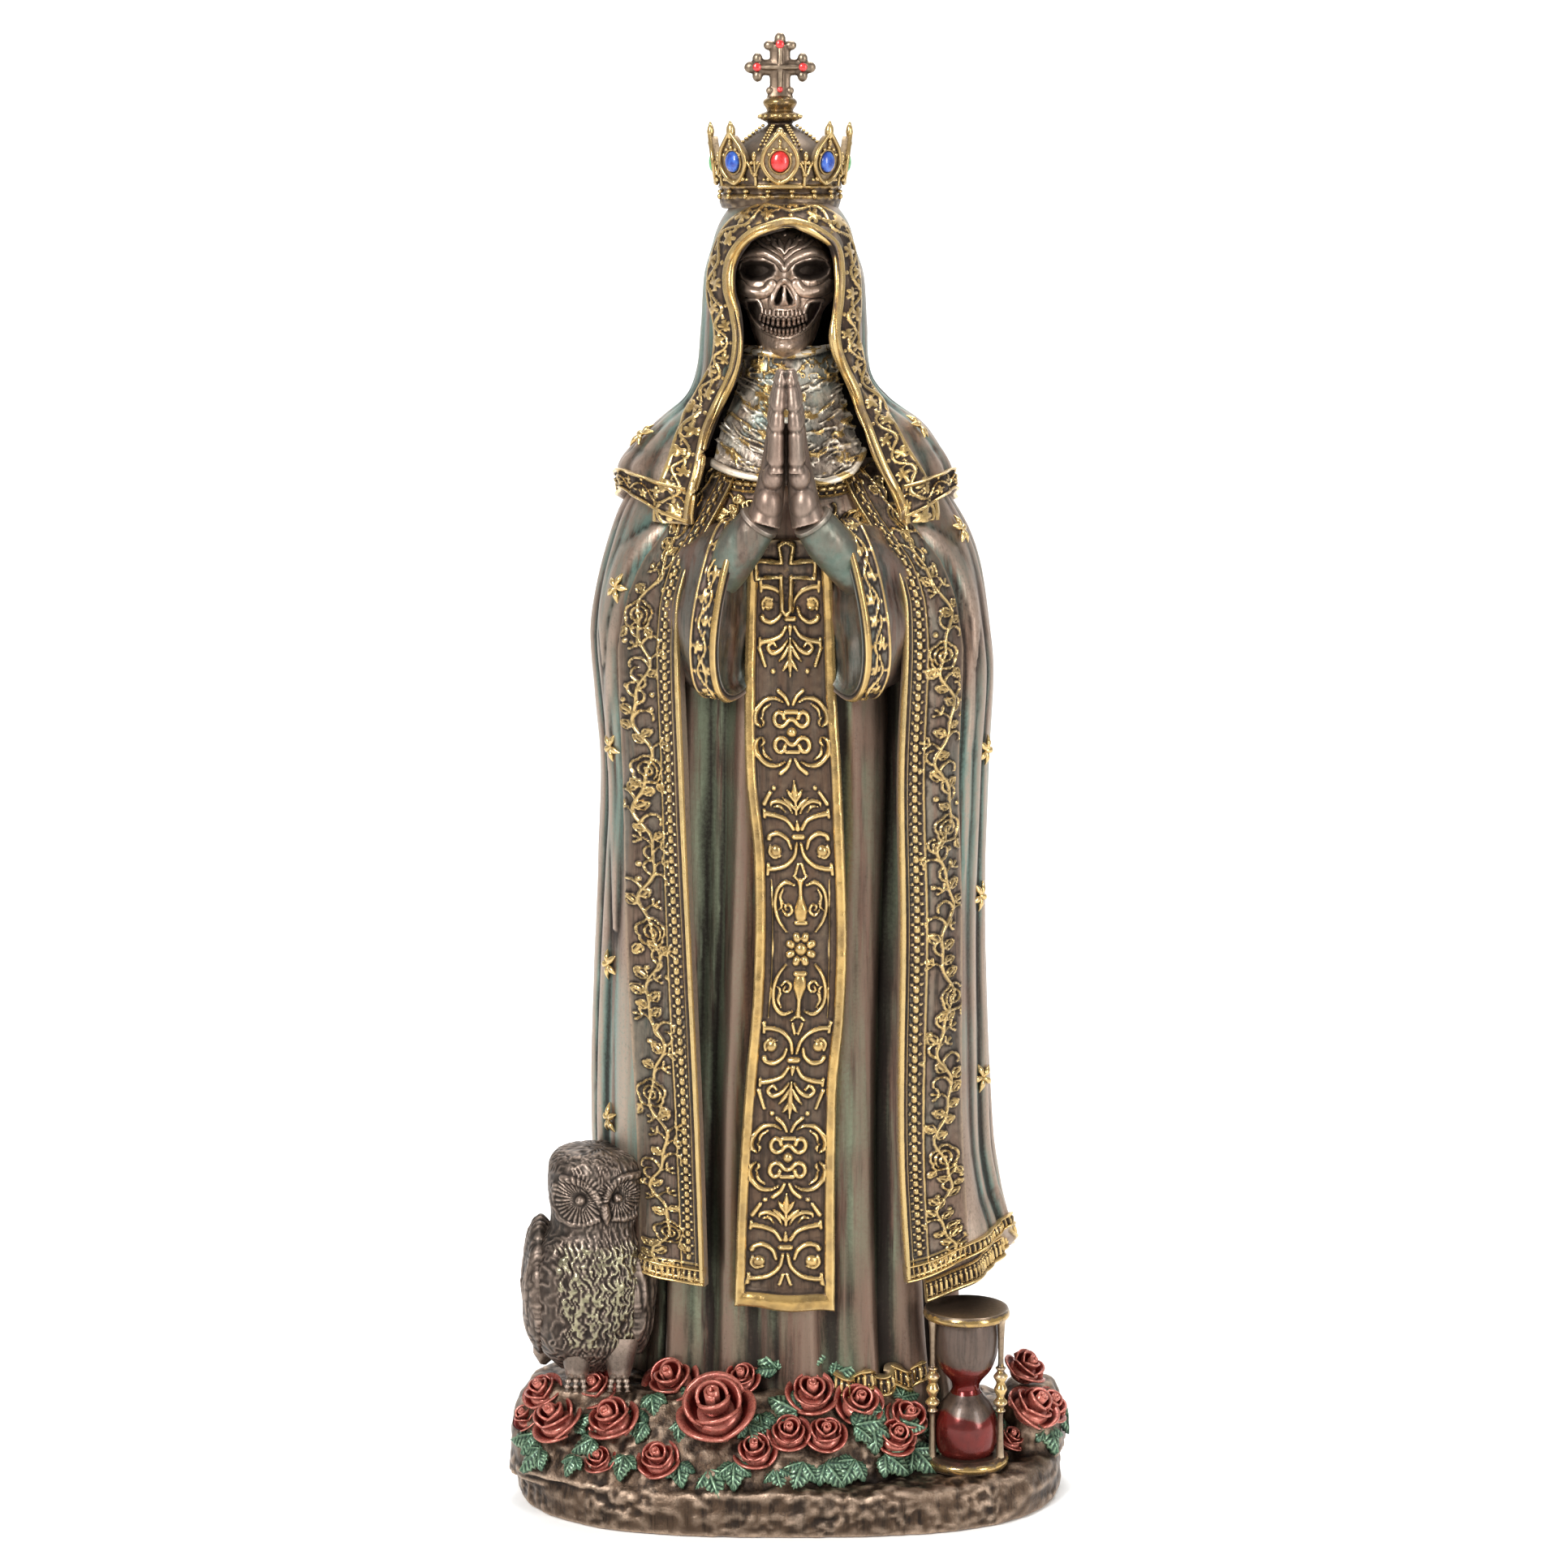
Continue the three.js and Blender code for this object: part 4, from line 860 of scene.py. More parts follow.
def bead_row(first, last, middle, pitch=2.05):
    lines = []
    for at in np.arange(first, last, pitch):
        lines.append(([(middle, at - 0.35), (middle, at + 0.35)], 0.55, 0.7))
        lines += [dot(middle + aside, at + pitch / 2, 0.36, 0.5) for aside in (-0.85, 0.85)]
    return lines


# %% The two front borders
BORDER = 12.8
border_levels = np.linspace(44.2, 214.5, 580)
for side, edge, name, roses, middle in (
        (-1, edge_left, "left", (12, 44, 77, 110, 141, 163), 8.2),
        (1, edge_right, "right", (30, 63, 98, 133, 160), 8.6)):
    height, across = grid(border_levels, np.linspace(0, BORDER, 58))
    x = side * (edge(height) + across * np.interp(height, [178, 204], [1, 8.6 / BORDER]))
    angle = angle_of(x, mantle_left(height), mantle_right(height))
    face = mantle_spots(angle, height)
    if side < 0:
        face, across, height = face[:, ::-1], across[:, ::-1], height[:, ::-1]
    along = height - border_levels[0]
    lines = bead_row(6.2, 169, 3.15) + vine(170, roses, middle, seed=4 + side)
    lines += [([(4.75, 0), (4.75, 170)], 0.28, 0.45), ([(1.55, 0), (1.55, 170)], 0.2, 0.3)]
    lines += [([(at, 1.5), (at, 3.6)], 0.32, 0.6) for at in np.arange(5.6, BORDER, 0.95)]
    lines += [([(0, 4.5), (BORDER, 4.5)], 0.28, 0.5), ([(0, 0.6), (BORDER, 0.6)], 0.6, 0.7)]
    high = raised(across, along, lines)
    high = np.maximum(high, 0.8 * rounded(across - 0.4, 0.5))
    fade = unit((BORDER - across) / 0.8)
    ground = -0.25 * (across > 1.7) + 0.05 * lumps(face, 1.1, 21)
    piece(f"mantle_border_{name}",
          [laid_band(face, (0.35 + ground + high) * fade, unit(high / 0.32) * fade)],
          border_paint, "figure", reach=(0.09, 0.35), rounds=(2, 7), keep=0.7)

# %% [markdown]
# ## The stole
# A long embroidered panel hangs down the middle. It has a raised gold rim and a column of scrolls that
# repeats above and below a rosette, as Renaissance ironwork does. Each motif is drawn once for its
# right half, in stitches of 0.04 mm, and mirrored about the middle of the cloth.

# %% Motifs of the stole, each around its own middle
STITCH = 0.04
BENT_FULLER, STRAIGHT_FULLER = 1.15, 1.1


def motif(shapes, z, flip=1):
    lines = []
    for points, girth, tall in shapes:
        path = np.array(points, float) * STITCH * [1, flip] + [0, z]
        girth = np.broadcast_to(np.array(girth, float), len(path)) * STITCH
        if len(path) > 2:
            girth = resampled(girth * BENT_FULLER, 4 * len(path))
            path = smooth(path, 4 * len(path))
        else:
            girth = girth * STRAIGHT_FULLER
        lines.append((path, girth, tall))
    return both_sides(lines)


M_SCROLL = [(38, 70), (46, 92), (70, 98), (88, 76), (84, 44), (60, 28), (36, 36), (16, 58), (0, 64)]
SIDE_SCROLL = [(44, 150), (82, 168), (130, 163), (170, 128), (188, 80), (180, 42), (160, 26)]
cartouche = [([(0, 0), (0, 0)], 24, 0.9), ([(0, 100), (30, 100)], 11, 0.65)]
for way in (1, -1):
    cartouche += [([(x, way * y) for x, y in M_SCROLL], 11, 0.75),
                  ([(x, way * y) for x, y in SIDE_SCROLL], [5, 9, 12, 12, 11, 9, 5], 0.75),
                  ([(112, way * 138), (144, way * 112), (152, way * 74)], [5, 9, 4], 0.6),
                  ([(160, way * 70), (146, way * 50), (150, way * 30)], [4, 8, 4], 0.6),
                  ([(12, way * 138), (32, way * 176), (66, way * 206)], [8, 10, 11], 0.65)]
cartouche.append(([(0, -100), (30, -100)], 11, 0.65))
scroll_pair = [
    ([(24, 40), (54, 84), (104, 106), (160, 116)], [9, 11, 12, 13], 0.75),
    ([(168, 134), (170, 100)], 9, 0.7), ([(0, 42), (0, 78)], [15, 5], 0.6), ([(0, 0), (22, 0)], 14, 0.75),
    ([(44, -58), (60, -14), (104, 16), (148, 8), (160, -10)], [8, 10, 12, 11, 13], 0.75),
    ([(126, -72), (126, -72)], 28, 0.85),
    ([(156, -52), (162, -82), (138, -106), (104, -98)], [9, 9, 8, 5], 0.6),
    ([(12, -38), (28, -98), (74, -144), (128, -162), (170, -164)], [8, 10, 11, 12, 12], 0.75),
    ([(172, -142), (176, -192)], 9, 0.7), ([(10, -138), (26, -188)], 8, 0.55)]
vase = [
    ([(0, 0), (24, 0)], 13, 0.7),
    ([(0, 34), (0, 62), (0, 100), (0, 134), (0, 170), (0, 214)], [28, 32, 20, 11, 10, 14], 0.85),
    ([(0, 216), (16, 222), (34, 238)], 7, 0.6),
    ([(34, 192), (82, 206), (126, 166), (139, 90), (120, 14), (78, -46)], [6, 11, 10, 9, 9, 6], 0.7),
    ([(98, 60), (74, 38), (48, 58), (60, 90), (86, 86), (78, 66)], [6, 8, 8, 7, 6, 6], 0.6),
    ([(94, 172), (112, 132), (98, 100)], [5, 9, 5], 0.55),
    ([(112, 112), (104, 84), (118, 66)], [4, 8, 4], 0.55)]
rosette = [([(0, 0), (0, 0)], 30, 0.95)] + [
    ([(54 * math.cos(a), 58 * math.sin(a)), (66 * math.cos(a), 72 * math.sin(a))], 19, 0.8)
    for a in np.radians([22.5, 67.5, -22.5, -67.5])]
palmette = [
    ([(0, 0), (0, 58)], 8, 0.6), ([(0, 60), (0, 112), (0, 166)], [8, 15, 4], 0.75),
    ([(4, 66), (22, 96), (38, 124)], [7, 12, 4], 0.65), ([(6, 26), (32, 56), (64, 82)], [7, 11, 4], 0.65),
    ([(20, 6), (44, 46), (86, 66), (124, 58), (130, 42)], [5, 10, 11, 9, 5], 0.65),
    ([(60, 12), (84, 40), (112, 36)], [4, 8, 4], 0.5), ([(106, 132), (106, 132)], 12, 0.6),
    ([(128, 108), (164, 52)], [10, 12], 0.6)]
leaf_fan = [
    ([(0, 60), (0, 0), (0, -62), (0, -130)], [6, 11, 15, 4], 0.75),
    ([(8, 22), (32, -20), (62, -56)], [7, 12, 4], 0.65),
    ([(5, -42), (22, -76), (38, -98)], [6, 11, 4], 0.65),
    ([(14, 52), (50, 6), (96, -14), (124, 14), (98, 40), (78, 20)], [6, 11, 12, 10, 9, 7], 0.7),
    ([(172, 12), (138, -78)], [11, 9], 0.6), ([(94, -104), (94, -104)], 13, 0.6)]

# %% Stole
stole_left = through([43.5, 11], [63, 10.4], [88, 8.8], [110, 7], [136, 6.8], [153, 8.4], [169, 8.7],
                     [185, 8.4], [200, 7.8])
stole_right = through([43.5, 9.2], [88, 9.5], [105, 11], [122, 11.5], [153, 10.3], [169, 9.3], [185, 8.8],
                      [200, 8])
STOLE_FOOT = 43.4
z, share = grid(np.linspace(STOLE_FOOT, 200.5, 600), np.linspace(0, 1, 92))
low, top = -stole_left(z), stole_right(z)
x = low + (top - low) * share
middle = (low + top) / 2
hang = 0.35 * np.sin(z / 9.5 + 2 * share) + 0.3 * np.sin(z / 23 + 1)
face = stacked(x, AXIS - tunic_front(z) - 2.2 + hang * 0.6 + 0.9 * (2 * share - 1) ** 2, z)
lines = []
for shapes, at, flip in (
        (scroll_pair, 184.6, -1), (leaf_fan, 178.3, 1), (cartouche, 162.0, 1), (palmette, 145.5, 1),
        (scroll_pair, 140.9, 1), (vase, 123.4, 1), (rosette, 118.0, 1), (vase, 113.0, -1),
        (scroll_pair, 95.3, -1), (leaf_fan, 88.4, 1), (cartouche, 75.0, 1), (palmette, 60.9, 1),
        (scroll_pair, 56.2, 1)):
    lines += motif(shapes, at, flip)
lines += both_sides([([(6.3, 104), (6.0, 118), (6.3, 132)], 0.16, 0.4)])
high = raised((x - middle) * 13.6 / (top - low - 5.5), z, lines)
cross = [(-1.3, 186.4), (-1.5, 193.6), (-6.2, 193.2), (-6.3, 196.6), (-1.4, 196.2), (-1.9, 199.6),
         (-0.6, 200.4), (0.8, 199.6), (0.3, 196.2), (5.0, 196.6), (4.9, 193.2), (0.4, 193.6), (0.2, 186.4),
         (-0.55, 185.4), (-1.3, 186.4)]
plate = (np.abs(x + 0.55) < 1.1) & (z > 186) | (np.abs(x + 0.6) < 5.6) & (np.abs(z - 194.9) < 1.3)
high = np.where(z > 187, high * 0.55, high)
high = np.maximum(high, np.where(plate, 0.9, 0))
high = np.maximum(high, raised(x, z, [(np.array(cross), 0.52, 1.7)]))
edge = np.minimum(np.minimum(x - low, top - x), (z - STOLE_FOOT) * 0.62)
rim = rounded(edge - 0.95, 1.1) * (1 + 0.12 * lumps(face, (5, 5, 5), 32))
ground = -0.35 * unit((edge - 2.1) / 0.4) + 0.07 * lumps(face, (1.2, 1.2, 1.2), 31)
gold = unit(high / 0.35) * np.where(plate & (high < 1.1), 0.2, 1)
gold = np.maximum(gold, 0.62 * (rim > 0.25))
face[..., 2] += unit(1 - (z - STOLE_FOOT) / 14) ** 2 * (0.5 - 1.3 * share + 0.3 * np.sin(9 * share))
piece("stole", [laid_band(face, 0.4 + ground + np.maximum(high * 0.95, rim), gold, 1.6)],
      embroidery, "figure", reach=(0.09, 0.4), rounds=(2, 7))

# %% [markdown]
# ## The veil
# The veil is a hood that falls over the shoulders. It is the same kind of shell as the mantle, and its
# two edges follow the opening around the face, which closes above the forehead.

# %% Curves of the veil
VEIL_HEM, VEIL_TOP = 205, 266
veil_left = through([205, 34.2], [212, 34.6], [217, 32.1], [222, 27], [227, 21.2], [232, 18.9], [242, 17.8],
                    [252, 17.1], [257, 15.8], [262, 14.2], [266, 11.6])
veil_right = through([205, 33.5], [212, 32.8], [217, 30.8], [222, 27], [227, 20.4], [232, 16.5],
                     [242, 15.7], [252, 15], [257, 13.4], [262, 12], [266, 9.3])
veil_front = through([205, 29.5], [212, 27.5], [222, 25.5], [232, 24.5], [245, 24.5], [256, 24],
                     [262, 21.5], [266, 14])
veil_back = through([205, 25], [212, 24.5], [222, 21], [232, 17], [245, 16], [256, 14.5], [262, 12],
                    [266, 9])
rim_left = through([200, 19.8], [206, 19.6], [214, 17.6], [222, 16.2], [228, 13.6], [234, 10.8], [240, 10],
                   [245, 10.8], [249, 12], [254, 11.8], [257.6, 10], [260.4, 6.7], [262.3, 1.2])
rim_right = through([200, 22.8], [206, 22.6], [214, 18.4], [222, 15.3], [228, 13.4], [234, 10.8],
                    [240, 9.1], [247, 9.8], [253, 9.9], [258, 8.8], [261, 4.9], [262.3, 1.2])
veil_fall = through([205, 1.2], [225, 0.9], [250, 0.4], [262, 0])
veil_sag = through([0, 0], [20, 0], [33, 5])


def veil_spots(angle, z):
    side = np.where(np.sin(angle) > 0, 1 - np.abs(np.cos(angle)) ** 6, 0)
    ripple = 0.3 * np.cos(23 * angle + z / 21) * (np.abs(np.cos(angle)) > 0.5)
    drape = np.cos(9 * angle + z / 30) * side + ripple
    x, y = plan(angle, veil_left(z), veil_right(z), veil_front(z), veil_back(z), veil_fall(z) * drape)
    before = unit((AXIS + 5 - y) / 12)
    lift = veil_sag(np.abs(x)) * before + veil_sag(26.0) * (1 - before)
    return stacked(x, y, z + lift * np.clip(1 - (z - VEIL_HEM) / 12, 0, None))


# %% Veil
levels = np.concatenate([np.linspace(203.2, 258, 84), np.linspace(258.4, VEIL_TOP, 26)])[:, None]
shut = unit((263.2 - levels) / 0.8)
start = angle_of(rim_right(levels) * shut, veil_left(levels), veil_right(levels))
stop = TURN + angle_of(-rim_left(levels) * shut, veil_left(levels), veil_right(levels))
outer = veil_spots(start + (stop - start) * np.linspace(0, 1, 240)[None, :], levels)
rough = 0.16 * lumps(outer, (5, 5, 12), 41) + 0.05 * lumps(outer, (1.3, 1.3, 6), 42)
outer = outer + outward(outer) * rough[..., None]
inside = outer[:, ::-4] - outward(outer)[:, ::-4] * 1.9
# The inside of the hood and its two edges are painted black: painted shade for the shadow around the face.
hood_shade = np.concatenate([np.zeros(outer.shape[:2]), np.full(inside.shape[:2], -1.0)], axis=1)
hood_shade[:, [0, outer.shape[1] - 1]] = -1
piece("veil", [ring(np.concatenate([outer, inside], axis=1), hood_shade)], mantle_paint, "figure",
      reach=(0.08, 0.4, 0.8), rounds=(3, 14, 60))

# %% Gold border of the hood, along the edge of the opening
heights = np.linspace(203.4, 262.3, 400)
rim_path = np.concatenate([stacked(-rim_left(heights), heights), stacked(rim_right(heights), heights)[::-1]])
steps = walked(rim_path)
along = np.linspace(0, steps[-1], 600)
path = stacked(*(np.interp(along, steps, column) for column in rim_path.T))
heading = np.gradient(path, axis=0)
kernel = np.ones(9) / 9
heading = stacked(*(np.convolve(np.pad(column, 4, "edge"), kernel, "valid") for column in heading.T))
away = stacked(-heading[:, 1], heading[:, 0]) / np.linalg.norm(heading, axis=1, keepdims=True)
grow = np.interp(path[:, 1], [206, 229], [1.55, 1])
width = 5.0 * grow
near_top = 0.5 + (265.4 - path[:, 1]) / np.maximum(away[:, 1], 0.05)
width = np.minimum(width, np.where(path[:, 1] > 258, near_top, width))
across = np.linspace(0, 1, 24)[None, :] * width[:, None]
x = path[:, :1] + away[:, :1] * across
z = np.minimum(path[:, 1:] + away[:, 1:] * across, 265.8)
half = np.where(x < 0, veil_left(z), veil_right(z))
share = np.abs(x) / half
x = np.sign(x) * half * np.where(share > 0.8, 0.8 + 0.17 * np.tanh((share - 0.8) / 0.17), share)
face = veil_spots(angle_of(x, veil_left(z), veil_right(z)), z)
face[..., 2] = z
wave = 0.8 * np.sin(along / 4.6)[:, None] * unit((z - 250) / 10) + 0.35 * np.sin(along / 7)[:, None]
lines = leafy_wave(steps[-1], 2.9, 1.0, 3.9)
across = across / grow[:, None]
high = raised(across, along[:, None] + 0 * across, lines) * unit((4.7 - across) / 0.3)
high = np.maximum(high, 0.35 * np.clip(1 - ((across - 4.6) / 0.35) ** 2, 0, None))
lip = rounded(across - 0.35, 0.5) * 0.4
face[..., 1] -= wave * unit(1.6 - across / 2)
fade = unit((width[:, None] / grow[:, None] - across) / 0.5)
roll = face[::4, 0] - 0.6 * outward(face[:, ::-1])[::4, -1]
swell = 0.58 + 0.2 * np.sin(along[::4] / 3.7) + 0.14 * np.sin(along[::4] / 1.9 + 1)
swell = swell * np.interp(roll[:, 2], [204, 228], [0.5, 1])
rolled = tube(roll, swell, 16, gilt=0.68 + 0.3 * np.sin(along[::4] / 2.3) * np.sin(along[::4] / 5.1))
gold = unit(np.maximum(high / 0.3, lip)) * 0.8 + 0.25 + 0.5 * lumps(face, 1.4, 65)
high = (0.3 + np.maximum(high * 0.8, lip)) * fade
piece("veil_border", [laid_band(face[:, ::-1], high[:, ::-1], gold[:, ::-1], 1.2), rolled],
      embroidery, "figure", reach=(0.09, 0.35), rounds=(2, 7))


# %% Bands along the hems of the veil and the mantle
def hem_band(name, surface, angles, low, tall, lines, rows=26, lift=0.32):
    up = np.linspace(0, tall, rows)[None, :]
    angles = angles[:, None]
    face = surface(angles + 0 * up, low + up)
    along = walked(face[:, 0])
    high = raised(up + 0 * angles, along[:, None] + 0 * up, lines(along[-1]))
    for at in (0.55, tall - 0.5):
        high = np.maximum(high, 0.75 * rounded(up - at, 0.45))
    fade = unit(np.minimum(up + 0.2, tall - up) / 0.3)
    gold = unit(high / 0.3) * np.where(face[..., 1] < 8, 1.0, 0.7)
    piece(name, [laid_band(face, (lift + high) * fade, gold, 1.2)], embroidery, "figure",
          reach=(0.09, 0.35), rounds=(2, 7))


def around(left_edge, right_edge, left, right, z, count):
    start = TURN + angle_of(-left_edge(z), left(z), right(z))
    stop = angle_of(right_edge(z), left(z), right(z))
    return np.linspace(float(start), float(stop), count)


def bars(length):
    lines = []
    for at in np.arange(0.6, length, 1.25):
        lines += [([(1.3, at), (3.0, at)], [0.3, 0.42], 0.65), dot(3.7, at, 0.36, 0.55),
                  dot(1.3, at + 0.62, 0.24, 0.4)]
    return lines


hem_band("veil_hem", veil_spots, around(rim_left, rim_right, veil_left, veil_right, 206.0, 520), 203.5, 7.2,
         lambda length: leafy_wave(length, 3.6, 1.35, 5.2, 12))
hem_band("mantle_hem", mantle_spots, around(edge_left, edge_right, mantle_left, mantle_right, 45.0, 560),
         43.1, 4.8, bars)


# A second fold of the mantle shows its hem on the right, under the first
def fold_spots(angle, z):
    spots = mantle_spots(angle, z)
    spots[..., 2] = z
    return spots


angles = np.linspace(0.1, float(angle_of(np.array(28.0), mantle_left(50), mantle_right(50))), 150)
low = np.interp(mantle_spots(angles, 50 + 0 * angles)[:, 0], [28, 31.7, 38.3, 45.4],
                [44.6, 45.4, 47, 49.1])[:, None]
hem_band("mantle_fold_hem", fold_spots, angles, low, 10,
         lambda length: bars(length) + [([(4.4, 0), (4.4, length)], 0.3, 0.5)], rows=46, lift=-0.7)

# The gilded foot of the tunic lies in ruffles behind the roses
def ruffle_spots(angle, z):
    x, y = plan(angle, tunic_half(z), tunic_half(z), tunic_front(z), tunic_back(z),
                1.0 + 0.7 * np.sin(angle * 47))
    return stacked(x, y, z)


start, stop = (float(angle_of(np.array(x), tunic_half(22), tunic_half(22))) for x in (27.5, 9.5))
angles = np.linspace(start, stop, 120)
low = 24.5 + 0.9 * np.sin(angles * 31)[:, None]
hem_band("tunic_trim", ruffle_spots, angles, low, 4.6, bars)

# %% [markdown]
# ## The skull
# The face looks out of the hood. The solid behind it is a plain egg, so the scene bends a fine grid to
# the same egg and then moves it in and out: humps for brows and cheekbones, wells for the eye sockets
# and the nose, and one small raised stroke for each tooth.

# %% Wells and humps
def well(across, along, outline, soft):
    outline = np.array(outline, float)
    spots = stacked(across, along)
    nearest = np.full(across.shape, 99.0)
    odd = np.zeros(across.shape, bool)
    for a, b in zip(outline, np.roll(outline, -1, axis=0)):
        run = b - a
        share = unit(((spots - a) @ run) / (run @ run))
        nearest = np.minimum(nearest, np.linalg.norm(spots - a - share[..., None] * run, axis=-1))
        crosses = (a[1] > along) != (b[1] > along)
        odd ^= crosses & (across < a[0] + (along - a[1]) * run[0] / (run[1] if run[1] else 1e-9))
    deep = unit(np.where(odd, nearest, 0) / soft)
    return deep * deep * (3 - 2 * deep)


def hump(across, along, place, wide, tall):
    return np.exp(-((across - place[0]) / wide) ** 2 - ((along - place[1]) / tall) ** 2)


# %% Skull
skull_half = through([234.5, 1.8], [235.6, 3.6], [237, 4.9], [239, 5.9], [241, 6.7], [243, 7.2], [245, 7.9],
                     [247, 9.5], [249, 10], [251, 9.9], [255, 9.4], [258, 7.8], [260, 5.6], [261.4, 2.4])
skull_front = through([234.5, 6], [236, 8.4], [238, 10], [241, 10.2], [244, 9.8], [246, 9], [250, 8.8],
                      [253.4, 9.8], [257, 8.8], [260, 5.9], [261.4, 3])
z, turn = grid(np.linspace(234.6, 261.4, 214), np.linspace(-0.4, math.pi + 0.4, 230))
x = -0.8 - skull_half(z) * np.cos(turn)
y = -4.4 - skull_front(z) * np.sign(np.sin(turn)) * np.abs(np.sin(turn)) ** 0.85
socket_left = [(-10.3, 252.8), (-9.7, 254.5), (-7.8, 255.2), (-4.7, 255.0), (-2.9, 254.2), (-2.5, 252.9),
               (-3.3, 251.6), (-5.4, 250.6), (-7.6, 250.5), (-9.4, 251.2)]
socket_right = [(0.6, 252.9), (1.1, 254.2), (2.9, 255.0), (5.4, 255.3), (7.4, 254.9), (8.5, 253.4),
                (7.9, 251.9), (6.5, 251.1), (4.3, 250.7), (2.4, 250.9), (1.1, 251.7)]
nostril_left = [(-1.6, 250.2), (-2.4, 248.7), (-3.1, 247.0), (-2.8, 246.0), (-1.8, 246.0), (-1.3, 246.9),
                (-1.05, 249.7)]
nostril_right = [(-0.7, 250.0), (0.2, 248.5), (1.0, 247.1), (0.7, 246.1), (-0.2, 246.0), (-0.65, 247.1),
                 (-0.75, 249.4)]
mouth_top = [(-8.6, 246.9), (-6.3, 247.0), (-5.6, 245.6), (-5.4, 244.3), (-3.1, 243.7), (-1.1, 243.6),
             (1.2, 243.7), (3.0, 244.1), (3.4, 245.4), (4.2, 246.7), (6.6, 246.9)]
mouth_foot = [(6.2, 245.4), (5.1, 243.4), (3.4, 241.6), (1.3, 240.4), (-0.9, 240.0), (-3.1, 240.4),
              (-5.5, 241.5), (-7.3, 243.2), (-8.4, 245.2)]
mouth = mouth_top + mouth_foot
proud = (0.6 * hump(x, z, (-5.8, 257.0), 3.2, 1.1) + 0.6 * hump(x, z, (4.2, 257.0), 3.2, 1.1)
         + 1.3 * hump(x, z, (-7.9, 248.9), 2.3, 1.3) + 1.3 * hump(x, z, (6.4, 249.0), 2.3, 1.3)
         + 2.2 * hump(x, z, (-1.1, 244.9), 4.0, 1.9) + 2.6 * hump(x, z, (-0.9, 238.0), 4.2, 2.0)
         + 1.3 * hump(x, z, (-0.95, 252.2), 1.05, 2.3))
brow_left = [(-10, 255.0), (-9.0, 256.0), (-7.2, 256.5), (-5.0, 256.4), (-3.2, 255.6), (-1.9, 254.6),
             (-1.1, 253.4)]
brow_right = [(7.9, 255.0), (6.9, 255.9), (5.2, 256.5), (3.2, 256.2), (1.4, 255.5), (0.1, 254.6),
              (-0.8, 253.4)]
nose_rim = [(-1.0, 245.5), (-3.4, 245.9), (-3.3, 248.0), (-2.3, 249.8), (-0.95, 250.9), (0.3, 250.0),
            (1.4, 248.0), (1.5, 246.0), (-1.0, 245.5)]
brow_girth = np.interp(np.linspace(0, 1, 30), [0, 0.4, 1], [0.5, 0.95, 0.7])
bones = [(smooth(brow_left, 30), brow_girth, 1.1), (smooth(brow_right, 30), brow_girth, 1.1),
         (smooth(nose_rim, 40), 0.55, 0.6), (smooth(mouth_top, 40), 0.5, 0.6),
         (smooth(mouth_foot, 40), 0.5, 0.5)]
for path in ([(-9.9, 250.0), (-8.6, 248.9), (-6.6, 248.4), (-4.6, 248.8), (-3.5, 250.0)],
             [(8.2, 250.0), (6.7, 249.1), (4.6, 248.6), (2.6, 248.9), (1.5, 250.1)]):
    bones.append((smooth(path, 24), 1.15, 1.0))
for root in (-4.9, -4.0, -3.15, -2.2, -1.2, -0.2, 0.75, 1.6, 2.4):
    bones.append(([(root, 243.7), (root * 0.93 - 0.08, 245.2)], [0.42, 0.2], 0.5))
crease_girth = [0.45] * 12 + [0.3] * 12
bones += [(smooth([(-0.9, 254.8), (-3.2, 256.9), (-5.4, 258.0), (-6.8, 259.2)], 24), crease_girth, 0.4),
          (smooth([(-0.7, 255.4), (1.2, 257.0), (3.4, 257.9), (4.8, 259.0)], 24), crease_girth, 0.4)]
flower = [dot(0, 260.3, 0.6, 0.5)]
for points, widest, tall in (
        ([(0, 256.2), (0.7, 257.6), (1.1, 259.0)], 0.55, 0.5),
        ([(0.4, 257.0), (2.0, 258.1), (2.7, 259.6)], 0.5, 0.5),
        ([(1.9, 259.0), (3.3, 259.2), (3.6, 260.4)], 0.4, 0.4)):
    flower.append((smooth(points, 12), np.interp(range(12), [0, 6, 11], [0.2, widest, 0.2]), tall))
bones += moved(both_sides(flower), -0.9)
proud += raised(x, z, bones)
# The sockets, nostrils and mouth are painted black through a negative gilt: dark paint, and painted shade at
# the bottom of these hollows.
dark = np.maximum.reduce([
    well(x, z, socket_left, 0.5), well(x, z, socket_right, 0.5), well(x, z, nostril_left, 0.28),
    well(x, z, nostril_right, 0.28), 0.9 * well(x, z, mouth, 0.35)])
proud -= 3.6 * np.maximum(well(x, z, socket_left, 1.4), well(x, z, socket_right, 1.4))
proud -= (2.4 * np.maximum(well(x, z, nostril_left, 0.5), well(x, z, nostril_right, 0.5))
          + 2.2 * well(x, z, mouth, 0.6))
teeth = []
for place, wide in (
        (-5.75, 0.36), (-5.0, 0.38), (-4.15, 0.42), (-3.2, 0.46), (-2.2, 0.48), (-1.1, 0.52), (0.0, 0.5),
        (1.0, 0.46), (1.9, 0.42), (2.7, 0.38), (3.4, 0.34)):
    bend = 0.045 * (place + 1.1) ** 2
    teeth.append(([(place * 0.98, 243.3 + bend), (place, 242.25 + bend)], [wide * 0.8, wide], 3.0))
for place in np.linspace(-5.2, 3.0, 11):
    bend = 0.06 * (place + 1.1) ** 2
    teeth.append(([(place, 241.15 + bend), (place * 0.98, 240.5 + bend)], [0.38, 0.32], 2.4))
bite = raised(x, z, teeth)
proud += bite
dark = np.where(bite > 1.2, 0, np.where(bite > 0.5, dark * 0.5, dark))
y = y - proud * unit(np.sin(turn) * 3)
spots = stacked(x, y, z)
spots[..., 1] += 0.1 * lumps(spots, (1.1, 1.1, 1.1), 51) + 0.05 * lumps(spots, (0.4, 0.4, 0.4), 52)
piece("skull", [ring(spots, -dark)], skull_paint, "figure", reach=(0.06, 0.3), rounds=(2, 9))

